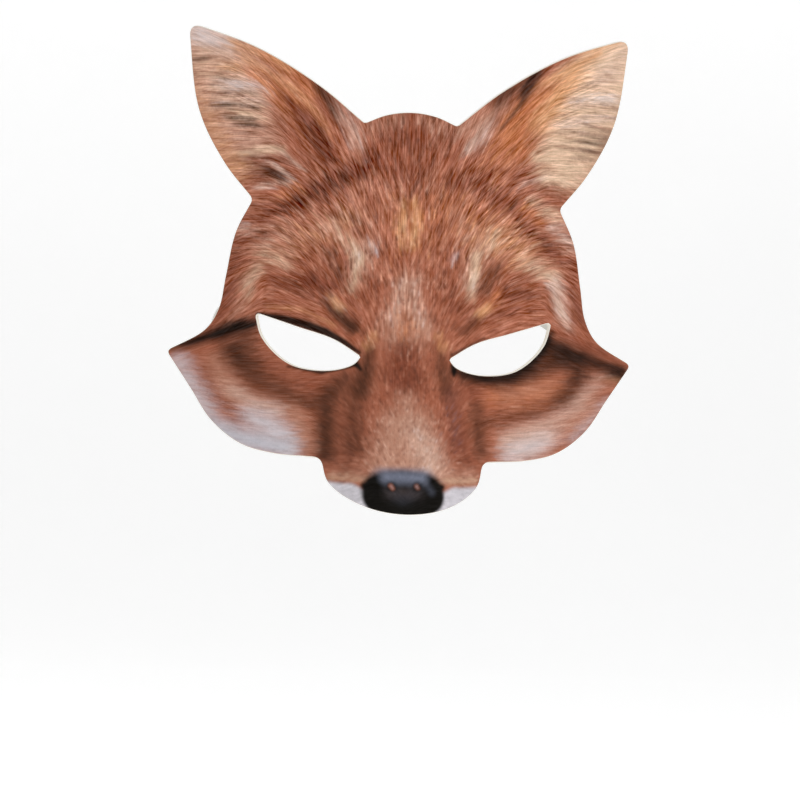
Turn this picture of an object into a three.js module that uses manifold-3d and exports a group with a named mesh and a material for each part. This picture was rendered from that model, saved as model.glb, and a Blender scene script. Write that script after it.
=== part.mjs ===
// A child's fox half mask: one printed foam sheet, die cut and formed, held on by a flat elastic.
// Millimetres, +Z up. The face looks along -Y, and the wearer's left is +X.
// The origin is on the wearer's nose root, level with the inner corners of the eye holes.

import * as THREE from 'three';
import { mergeVertices } from 'three/addons/utils/BufferGeometryUtils.js';
import Module from 'manifold-3d';

const wasm = await Module();
wasm.setup();

// Driving dimensions
const WALL = 2; // foam sheet
const WRAP_DEPTH = 26; // how hard the sheet bends back round the head
const WRAP_HALF = 40; // half-width of the flatter middle, before the flaps run straight back
const MUZZLE_FLAT = 0.15; // share of the muzzle's half-width that is flat on top
const GAP = 0.3; // between the sheet and the elastic glued to it
const BAND_WIDTH = 6;
const BAND_THICKNESS = 1;

const GRID_STEP = 4; // facets of the sheet
const EDGE_STEP = 3; // facets of a cut edge
const GRID_HALF_WIDTH = 88;
const GRID_BOTTOM = -60;
const GRID_TOP = 124;
const CUT_REACH = 80; // the cutter runs this far to both sides of the sheet
const CORNER_FACETS = 3;
const MERGE_WITHIN = 1e-4; // shared vertices of a solid
const BAND_STEPS = 60;

// Half outline of the sheet from the front, crown to chin.
// A row with a corner breaks the curve there and rounds it by that much.
const OUTLINE = [
  { at: 'crown_top', x: 0, z: 89.4 },
  { at: 'crown_side', x: 9, z: 88.2 },
  { at: 'crown_notch', x: 16.9, z: 85, corner: 0.8 },
  { at: 'ear_inner_low', x: 33.7, z: 98.6 },
  { at: 'ear_inner_high', x: 56.6, z: 112.1 },
  { at: 'ear_tip', x: 82, z: 121.1, corner: 6 },
  { at: 'ear_outer_high', x: 77.2, z: 89 },
  { at: 'ear_outer_low', x: 67.4, z: 69.6 },
  { at: 'ear_notch', x: 56.6, z: 56.2, corner: 1.5 },
  { at: 'temple_high', x: 62.4, z: 44 },
  { at: 'temple_middle', x: 65.5, z: 28 },
  { at: 'temple_low', x: 67.7, z: 16 },
  { at: 'flap_top', x: 72.3, z: 8.2 },
  { at: 'flap_tip', x: 86.4, z: -0.2, corner: 2.2 },
  { at: 'cheek_high', x: 77.3, z: -13.4 },
  { at: 'cheek_middle', x: 69.1, z: -25.3 },
  { at: 'cheek_low', x: 58.4, z: -33.3 },
  { at: 'cheek_flat', x: 45.9, z: -36.4 },
  { at: 'muzzle_notch', x: 29.6, z: -37, corner: 2.6 },
  { at: 'muzzle_side', x: 27, z: -45.6 },
  { at: 'muzzle_low', x: 16.6, z: -52.4 },
  { at: 'chin', x: 0, z: -55.4 },
];

// Eye hole, from its inner corner over the top and back.
const EYE_HOLE = [
  { at: 'inner_corner', x: 16.2, z: 0, corner: 0.8 },
  { at: 'upper_inner', x: 26, z: 5.8 },
  { at: 'upper_middle', x: 38.7, z: 9.8 },
  { at: 'outer_corner', x: 54.2, z: 14.6, corner: 1.8 },
  { at: 'lower_outer', x: 51.3, z: 5.6 },
  { at: 'lower_middle', x: 41.3, z: -3.4 },
  { at: 'lower_inner', x: 28, z: -5.3 },
  { at: 'tear_side', x: 18.8, z: -2.8 },
];

// The sheet from the side, top to bottom. lean: the middle line behind the nose root.
// wrap: share of the full bend round the head. muzzle: how far the muzzle stands forward.
// half: the muzzle's half-width where it runs out into the cheeks.
const SECTIONS = [
  { at: 'above_ears', z: 124, lean: 14, wrap: 0.64, muzzle: 0, half: 12 },
  { at: 'crown', z: 88, lean: 10, wrap: 0.8, muzzle: 0, half: 12 },
  { at: 'forehead', z: 50, lean: 4, wrap: 0.96, muzzle: 0, half: 12 },
  { at: 'brow', z: 22, lean: 1, wrap: 1, muzzle: 0, half: 12 },
  { at: 'nose_root', z: 3, lean: 0, wrap: 1, muzzle: 0, half: 14 },
  { at: 'bridge_top', z: -6, lean: 0, wrap: 1, muzzle: 4, half: 19 },
  { at: 'bridge', z: -22, lean: 0, wrap: 1, muzzle: 16, half: 29 },
  { at: 'nose_top', z: -38, lean: 0, wrap: 1, muzzle: 29, half: 38 },
  { at: 'nose_tip', z: -47, lean: 0, wrap: 1, muzzle: 33, half: 41 },
  { at: 'below_chin', z: -62, lean: 0, wrap: 1, muzzle: 31, half: 44 },
];
const SECTION_COLUMNS = ['lean', 'wrap', 'muzzle', 'half'];

// The elastic from the end of its glued stretch to the middle of the back of the head.
const BAND_ROUTE = [
  { at: 'off_the_flap', x: 76.8, y: 42, z: -2.4 },
  { at: 'temple', x: 74.6, y: 62, z: 0 },
  { at: 'above_ear', x: 69.8, y: 98, z: 4.5 },
  { at: 'behind_ear', x: 62, y: 140, z: 16.5 },
  { at: 'back_side', x: 36, y: 171, z: 24.5 },
  { at: 'back_middle', x: 0, y: 182, z: 27.5 },
];
const GLUED = [
  { at: 'glued_end', x: 62, z: -4 },
  { at: 'glued_middle', x: 68, z: -3.6 },
  { at: 'last_glued', x: 74, z: -3 },
];

// Shape of the sheet

const rowsUp = [...SECTIONS].reverse();
const sectionAt = new THREE.CubicInterpolant(
  rowsUp.map((row) => row.z),
  rowsUp.flatMap((row) => SECTION_COLUMNS.map((column) => row[column])),
  SECTION_COLUMNS.length,
);

// Depth of the sheet's inner face at a point of the front view.
function innerDepth(x, z) {
  const [lean, wrap, muzzle, half] = sectionAt.evaluate(z);
  const bend = WRAP_DEPTH * (Math.hypot(1, x / WRAP_HALF) - 1);
  const side = (Math.abs(x) / half - MUZZLE_FLAT) / (1 - MUZZLE_FLAT);
  const fall = (1 + Math.cos(Math.PI * THREE.MathUtils.clamp(side, 0, 1))) / 2;
  const bulge = Math.max(muzzle, 0) * fall;
  return lean + wrap * bend - bulge;
}

// Unit normal of the sheet there, pointing to the wearer.
function inwardNormal(x, z) {
  const reach = GRID_STEP / 8;
  const slopeX = (innerDepth(x + reach, z) - innerDepth(x - reach, z)) / (2 * reach);
  const slopeZ = (innerDepth(x, z + reach) - innerDepth(x, z - reach)) / (2 * reach);
  return new THREE.Vector3(-slopeX, 1, -slopeZ).normalize();
}

// Outer face, one wall in front of the inner one.
function outerDepth(x, z) {
  return innerDepth(x, z) - WALL / inwardNormal(x, z).y;
}

// Outlines

function stretchPoints(rows) {
  const knots = rows.map((row) => new THREE.Vector3(row.x, 0, row.z));
  const curve = new THREE.CatmullRomCurve3(knots, false, 'centripetal');
  const steps = Math.max(2, Math.round(curve.getLength() / EDGE_STEP));
  return curve.getSpacedPoints(steps);
}

// Leaves out the points nearer to a stretch's end than its corner's rounding.
function trimmed(points, first, last) {
  const a = points[0];
  const b = points[points.length - 1];
  const clear = (p) => p.distanceTo(a) > first && p.distanceTo(b) > last;
  const toward = (from, to, distance) =>
    from.clone().lerp(to, Math.min(1, distance / from.distanceTo(to)));
  const nearA = points.find(clear);
  const nearB = [...points].reverse().find(clear);
  return [toward(a, nearA, first), ...points.filter(clear), toward(b, nearB, last)];
}

// Closed outline through a loop of rows, smooth between corners and rounded at them.
function roundedLoop(rows) {
  const start = rows.findIndex((row) => row.corner);
  const loop = [...rows.slice(start), ...rows.slice(0, start), rows[start]];
  const corners = loop.flatMap((row, i) => (row.corner ? [i] : []));
  const stretches = corners.slice(1).map((end, i) => {
    const part = loop.slice(corners[i], end + 1);
    return trimmed(stretchPoints(part), part[0].corner, part[part.length - 1].corner);
  });
  return stretches.flatMap((points, i) => {
    const next = stretches[(i + 1) % stretches.length];
    const row = loop[corners[i + 1]];
    const arc = new THREE.QuadraticBezierCurve(
      new THREE.Vector2(points[points.length - 1].x, points[points.length - 1].z),
      new THREE.Vector2(row.x, row.z),
      new THREE.Vector2(next[0].x, next[0].z),
    );
    const along = points.slice(0, -1).map((p) => new THREE.Vector2(p.x, p.z));
    return [...along, ...arc.getPoints(CORNER_FACETS).slice(0, -1)];
  });
}

const mirrorRow = (row) => ({ ...row, x: -row.x });

function sheetShape() {
  const otherHalf = OUTLINE.slice(1, -1).reverse().map(mirrorRow);
  const shape = new THREE.Shape(roundedLoop([...OUTLINE, ...otherHalf]).reverse());
  const eye = roundedLoop(EYE_HOLE);
  const otherEye = eye.map((p) => new THREE.Vector2(-p.x, p.y)).reverse();
  shape.holes.push(new THREE.Path(eye), new THREE.Path(otherEye));
  return shape;
}

// Solids

function toManifold(geometry) {
  geometry.deleteAttribute('normal');
  geometry.deleteAttribute('uv');
  const merged = mergeVertices(geometry, MERGE_WITHIN);
  return new wasm.Manifold(new wasm.Mesh({
    numProp: 3,
    vertProperties: merged.attributes.position.array,
    triVerts: merged.index.array,
  }));
}

function toGeometry(solid) {
  const mesh = solid.getMesh();
  const geometry = new THREE.BufferGeometry();
  geometry.setAttribute('position', new THREE.BufferAttribute(mesh.vertProperties, 3));
  geometry.setIndex(new THREE.BufferAttribute(mesh.triVerts, 1));
  const shaded = geometry.toNonIndexed();
  shaded.computeVertexNormals();
  return shaded;
}

// A block of one facet step per cell whose two broad faces are bent to the sheet's faces.
function curvedSlab() {
  const width = 2 * GRID_HALF_WIDTH;
  const height = GRID_TOP - GRID_BOTTOM;
  const across = Math.round(width / GRID_STEP);
  const up = Math.round(height / GRID_STEP);
  const slab = new THREE.BoxGeometry(width, 1, height, across, 1, up);
  slab.translate(0, 0, (GRID_TOP + GRID_BOTTOM) / 2);
  const position = slab.attributes.position;
  for (let i = 0; i < position.count; i += 1) {
    const x = position.getX(i);
    const z = position.getZ(i);
    position.setY(i, position.getY(i) > 0 ? innerDepth(x, z) : outerDepth(x, z));
  }
  return toManifold(slab);
}

function sheetCutter() {
  const depth = 2 * CUT_REACH;
  const prism = new THREE.ExtrudeGeometry(sheetShape(), { depth, bevelEnabled: false });
  prism.rotateX(Math.PI / 2).translate(0, CUT_REACH, 0);
  return toManifold(prism);
}

function maskShell() {
  return toGeometry(curvedSlab().intersect(sheetCutter()));
}

// Middle line of the elastic: flat on the inside of one flap, round the back, and on the other.
function bandCurve() {
  const lift = WALL / 2 + GAP + BAND_THICKNESS / 2;
  const glued = GLUED.map(({ x, z }) => {
    const middle = new THREE.Vector3(x, (innerDepth(x, z) + outerDepth(x, z)) / 2, z);
    return middle.addScaledVector(inwardNormal(x, z), lift);
  });
  const half = [...glued, ...BAND_ROUTE.map((row) => new THREE.Vector3(row.x, row.y, row.z))];
  const other = half.slice(0, -1).reverse().map((p) => new THREE.Vector3(-p.x, p.y, p.z));
  return new THREE.CatmullRomCurve3([...half, ...other], false, 'centripetal');
}

// A flat strip along a curve, with its width upright.
function elasticBand() {
  const curve = bandCurve();
  const sides = [[-1, -1], [1, -1], [1, 1], [-1, 1]];
  const vertices = [];
  const faces = [];
  for (let i = 0; i <= BAND_STEPS; i += 1) {
    const middle = curve.getPointAt(i / BAND_STEPS);
    const along = curve.getTangentAt(i / BAND_STEPS);
    const through = new THREE.Vector3(0, 0, 1).cross(along).normalize();
    const upright = along.clone().cross(through);
    for (const [t, u] of sides) {
      const corner = middle.clone()
        .addScaledVector(through, (t * BAND_THICKNESS) / 2)
        .addScaledVector(upright, (u * BAND_WIDTH) / 2);
      vertices.push(corner.x, corner.y, corner.z);
    }
  }
  for (let i = 0; i < BAND_STEPS; i += 1) {
    sides.forEach((_, s) => {
      const a = sides.length * i + s;
      const b = sides.length * i + ((s + 1) % sides.length);
      faces.push(a, b, b + sides.length, a, b + sides.length, a + sides.length);
    });
  }
  const end = sides.length * BAND_STEPS;
  faces.push(0, 2, 1, 0, 3, 2, end, end + 1, end + 2, end, end + 2, end + 3);
  const strip = new THREE.BufferGeometry();
  strip.setAttribute('position', new THREE.Float32BufferAttribute(vertices, 3));
  strip.setIndex(faces);
  strip.computeVertexNormals();
  return strip;
}

// Assembly

function piece(name, geometry, color, roughness) {
  const material = new THREE.MeshStandardMaterial({ color, roughness, metalness: 0 });
  const mesh = new THREE.Mesh(geometry, material);
  mesh.name = name;
  return mesh;
}

const mask = new THREE.Group();
mask.add(piece('mask_shell', maskShell(), 0xa05c48, 0.7));
mask.add(piece('elastic_band', elasticBand(), 0xe8e4dc, 0.85));

export default mask;
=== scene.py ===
"""Looks of a child's fox half mask: a printed foam sheet on a flat elastic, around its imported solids."""

import math
from collections import namedtuple

import bpy
import numpy as np
from bpy.props import FloatProperty, FloatVectorProperty, IntProperty, PointerProperty
from bpy.types import Operator, Panel, PropertyGroup
from mathutils import Matrix, Vector, geometry, kdtree


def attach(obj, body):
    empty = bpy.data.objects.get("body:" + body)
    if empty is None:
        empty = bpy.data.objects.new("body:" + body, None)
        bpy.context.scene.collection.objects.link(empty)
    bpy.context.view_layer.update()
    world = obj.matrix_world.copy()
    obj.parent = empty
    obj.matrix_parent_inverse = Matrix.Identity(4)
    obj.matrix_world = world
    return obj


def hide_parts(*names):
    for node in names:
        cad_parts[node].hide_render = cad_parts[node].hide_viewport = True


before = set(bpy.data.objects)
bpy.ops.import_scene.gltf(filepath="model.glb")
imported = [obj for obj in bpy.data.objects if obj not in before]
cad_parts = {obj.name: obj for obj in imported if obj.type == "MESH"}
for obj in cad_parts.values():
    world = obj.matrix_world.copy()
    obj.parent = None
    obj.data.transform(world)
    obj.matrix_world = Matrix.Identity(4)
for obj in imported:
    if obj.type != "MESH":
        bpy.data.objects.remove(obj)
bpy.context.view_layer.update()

bl_info = {
    "name": "Fox Mask",
    "version": (1, 0, 0),
    "blender": (4, 5, 0),
    "location": "3D View > Sidebar > Fox Mask",
    "description": "Builds a printed foam fox mask with its elastic and a plain studio",
    "category": "Add Mesh",
}

MM = 0.001
BODY = "root"
LEFT, RIGHT, BOTH = -1, 1, 0
TINY = 1e-9

# Half outline of the sheet from the front, crown to chin, in millimetres.
# A row with a corner breaks the curve there and rounds it by that much.
Edge = namedtuple("Edge", "at x z corner", defaults=(0.0,))
OUTLINE = [
    Edge("crown_top", 0, 89.4),
    Edge("crown_side", 9, 88.2),
    Edge("crown_notch", 16.9, 85, 0.8),
    Edge("ear_inner_low", 33.7, 98.6),
    Edge("ear_inner_high", 56.6, 112.1),
    Edge("ear_tip", 82, 121.1, 6),
    Edge("ear_outer_high", 77.2, 89),
    Edge("ear_outer_low", 67.4, 69.6),
    Edge("ear_notch", 56.6, 56.2, 1.5),
    Edge("temple_high", 62.4, 44),
    Edge("temple_middle", 65.5, 28),
    Edge("temple_low", 67.7, 16),
    Edge("flap_top", 72.3, 8.2),
    Edge("flap_tip", 86.4, -0.2, 2.2),
    Edge("cheek_high", 77.3, -13.4),
    Edge("cheek_middle", 69.1, -25.3),
    Edge("cheek_low", 58.4, -33.3),
    Edge("cheek_flat", 45.9, -36.4),
    Edge("muzzle_notch", 29.6, -37, 2.6),
    Edge("muzzle_side", 27, -45.6),
    Edge("muzzle_low", 16.6, -52.4),
    Edge("chin", 0, -55.4),
]

# Eye hole, from its inner corner over the top and back.
EYE_HOLE = [
    Edge("inner_corner", 16.2, 0, 0.8),
    Edge("upper_inner", 26, 5.8),
    Edge("upper_middle", 38.7, 9.8),
    Edge("outer_corner", 54.2, 14.6, 1.8),
    Edge("lower_outer", 51.3, 5.6),
    Edge("lower_middle", 41.3, -3.4),
    Edge("lower_inner", 28, -5.3),
    Edge("tear_side", 18.8, -2.8),
]

# The sheet from the side, bottom to top. lean: the middle line behind the nose root.
# wrap: share of the full bend round the head. muzzle: how far the muzzle stands forward.
# half: the muzzle's half-width where it runs out into the cheeks.
Section = namedtuple("Section", "at z lean wrap muzzle half")
SECTIONS = [
    Section("below_chin", -62, 0, 1, 31, 44),
    Section("nose_tip", -47, 0, 1, 33, 41),
    Section("nose_top", -38, 0, 1, 29, 38),
    Section("bridge", -22, 0, 1, 16, 29),
    Section("bridge_top", -6, 0, 1, 4, 19),
    Section("nose_root", 3, 0, 1, 0, 14),
    Section("brow", 22, 1, 1, 0, 12),
    Section("forehead", 50, 4, 0.96, 0, 12),
    Section("crown", 88, 10, 0.8, 0, 12),
    Section("above_ears", 124, 14, 0.64, 0, 12),
]

# How the cut edge turns from the printed face to the back, as distances in from the outline and
# back from the printed face. The print ends after its first step.
Rim = namedtuple("Rim", "inset depth")
EDGE_ROUNDING = [
    Rim(0.55, 0.0),
    Rim(0.3, 0.05),
    Rim(0.1, 0.2),
    Rim(0.0, 0.5),
    Rim(0.0, 1.05),
    Rim(0.0, 1.6),
    Rim(0.12, 1.87),
    Rim(0.4, 2.0),
]
PRINTED_STEPS = 1

# The elastic on the inside of a flap, then from there to the middle of the back of the head.
Glue = namedtuple("Glue", "at x z")
GLUED = [Glue("glued_end", 62, -4), Glue("glued_middle", 68, -3.6), Glue("last_glued", 74, -3)]
Way = namedtuple("Way", "at x y z")
BAND_ROUTE = [
    Way("off_the_flap", 76.8, 42, -2.4),
    Way("temple", 74.6, 62, 0),
    Way("above_ear", 69.8, 98, 4.5),
    Way("behind_ear", 62, 140, 16.5),
    Way("back_side", 36, 171, 24.5),
    Way("back_middle", 0, 182, 27.5),
]

# Steps of the curves and meshes.
KNOT_STEPS = 60  # from one knot of a curve to the next
LENGTH_STEPS = 200  # in which a curve's length is measured
LATTICE_GAP = 0.6  # share of a step that the lattice keeps off the cut edges
RIB_FACETS = 6  # across each rib of the elastic
EDGE_SQUARENESS = 12  # power that rounds the elastic's two edges

# Inks of the print: what ink light and dark hairs among theirs take, and how much their hairs differ.
Ink = namedtuple("Ink", "name light dark play")
INKS = [
    Ink("rust", "tan", "deep", 1),
    Ink("deep", "rust", "umber", 1),
    Ink("orange", "gold", "rust", 1),
    Ink("gold", "cream", "orange", 0.9),
    Ink("tan", "pale", "rust", 0.9),
    Ink("cream", "pale", "tan", 0.8),
    Ink("pale", "snow", "tan", 0.7),
    Ink("snow", "snow", "pale", 0.35),
    Ink("umber", "deep", "soot", 0.8),
    Ink("soot", "umber", "soot", 0.4),
    Ink("slate", "slate", "slate", 0),
]
INK_NAMES = [ink.name for ink in INKS]

# How the hair lies: angle in degrees, 0 outward and 90 up, hair length, and how much single hairs
# differ there, on one half of the face.
Lie = namedtuple("Lie", "x z angle length play", defaults=(1.0,))
FUR_LIE = [
    Lie(0, 20, 90, 4.5, 1.3), Lie(0, 50, 90, 5.5, 1.3), Lie(0, 80, 90, 6.5),
    Lie(12, 30, 80, 4.5, 1.3), Lie(12, 60, 76, 6, 1.3), Lie(12, 84, 80, 7),
    Lie(20, 33, 85, 5, 1.3), Lie(25, 42, 62, 5.5, 1.3), Lie(28, 62, 55, 7, 1.3),
    Lie(25, 20, 52, 5), Lie(30, 30, 57, 5.5), Lie(40, 45, 38, 7, 1.3), Lie(38, 56, 42, 7, 1.3),
    Lie(44, 33, 30, 9), Lie(52, 36, 8, 9), Lie(55, 48, 5, 10, 1.2), Lie(61, 44, -12, 9, 1.2),
    Lie(58, 30, -30, 9), Lie(55, 22, -55, 9, 0.8), Lie(62, 20, -48, 9, 0.7), Lie(66, 14, -42, 8, 0.6),
    Lie(70, 8, -33, 8, 0.5), Lie(45, 24, 22, 8),
    Lie(20, 9, 40, 5, 0.7), Lie(35, 15, 20, 7, 0.8), Lie(48, 19, 4, 8), Lie(57, 13, -32, 8, 0.7),
    Lie(8, 10, 88, 4), Lie(0, 5, 90, 3.5), Lie(14, 8, 70, 4), Lie(13, -2, 80, 3, 0.6),
    Lie(0, -10, 90, 2, 0.9), Lie(0, -30, 90, 1.6, 1.1), Lie(10, -20, 82, 1.8, 0.9), Lie(12, -36, 62, 1.8),
    Lie(22, -40, 0, 3, 0.7), Lie(18, -44, -25, 3.5, 0.6), Lie(24, -28, 40, 3, 0.5), Lie(28, -36, 0, 4, 0.6),
    Lie(20, -14, 60, 3, 0.5), Lie(26, -18, 15, 4, 0.5),
    Lie(30, -12, -6, 7, 0.45), Lie(35, -8, -4, 7, 0.45), Lie(45, -10, -2, 10, 0.45), Lie(60, -8, 4, 14, 0.45),
    Lie(75, -5, 10, 12, 0.45), Lie(40, -25, 3, 14, 0.6), Lie(60, -22, 8, 15, 0.6), Lie(50, -32, 6, 14, 0.45),
    Lie(33, -33, 0, 8, 0.5), Lie(70, -16, 10, 14, 0.5),
    Lie(56, 6, -10, 9, 0.4), Lie(70, 3, -18, 9, 0.35), Lie(80, -1, -18, 8, 0.4),
    Lie(22, 84, 62, 11), Lie(30, 92, 58, 11, 0.8), Lie(40, 75, 50, 13), Lie(42, 88, 50, 13),
    Lie(50, 97, 45, 13), Lie(58, 106, 36, 12, 0.8), Lie(70, 114, 22, 10, 0.8),
    Lie(58, 92, 12, 15, 1.5), Lie(66, 101, 12, 14, 1.4), Lie(74, 106, -2, 12), Lie(68, 92, -1, 14, 1.5),
    Lie(60, 80, 0, 14, 1.2), Lie(54, 72, 4, 13), Lie(66, 76, -8, 12, 0.7), Lie(58, 64, -8, 9),
    Lie(75, 86, -6, 12, 0.6),
    Lie(46, 68, 25, 11, 1.2), Lie(78, 98, -8, 9, 0.8),
]

# Marks of the fur, later ones over earlier ones. Each runs along a path of places with radii;
# x is outward from the middle on the named side.
Mark = namedtuple("Mark", "at ink side soft strength path")


def charter(side):
    """What charts the marks on a side of the face, or on both."""

    def chart(at, ink, soft, strength, *path):
        return Mark(at, ink, side, soft, strength, path)

    return chart


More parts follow.
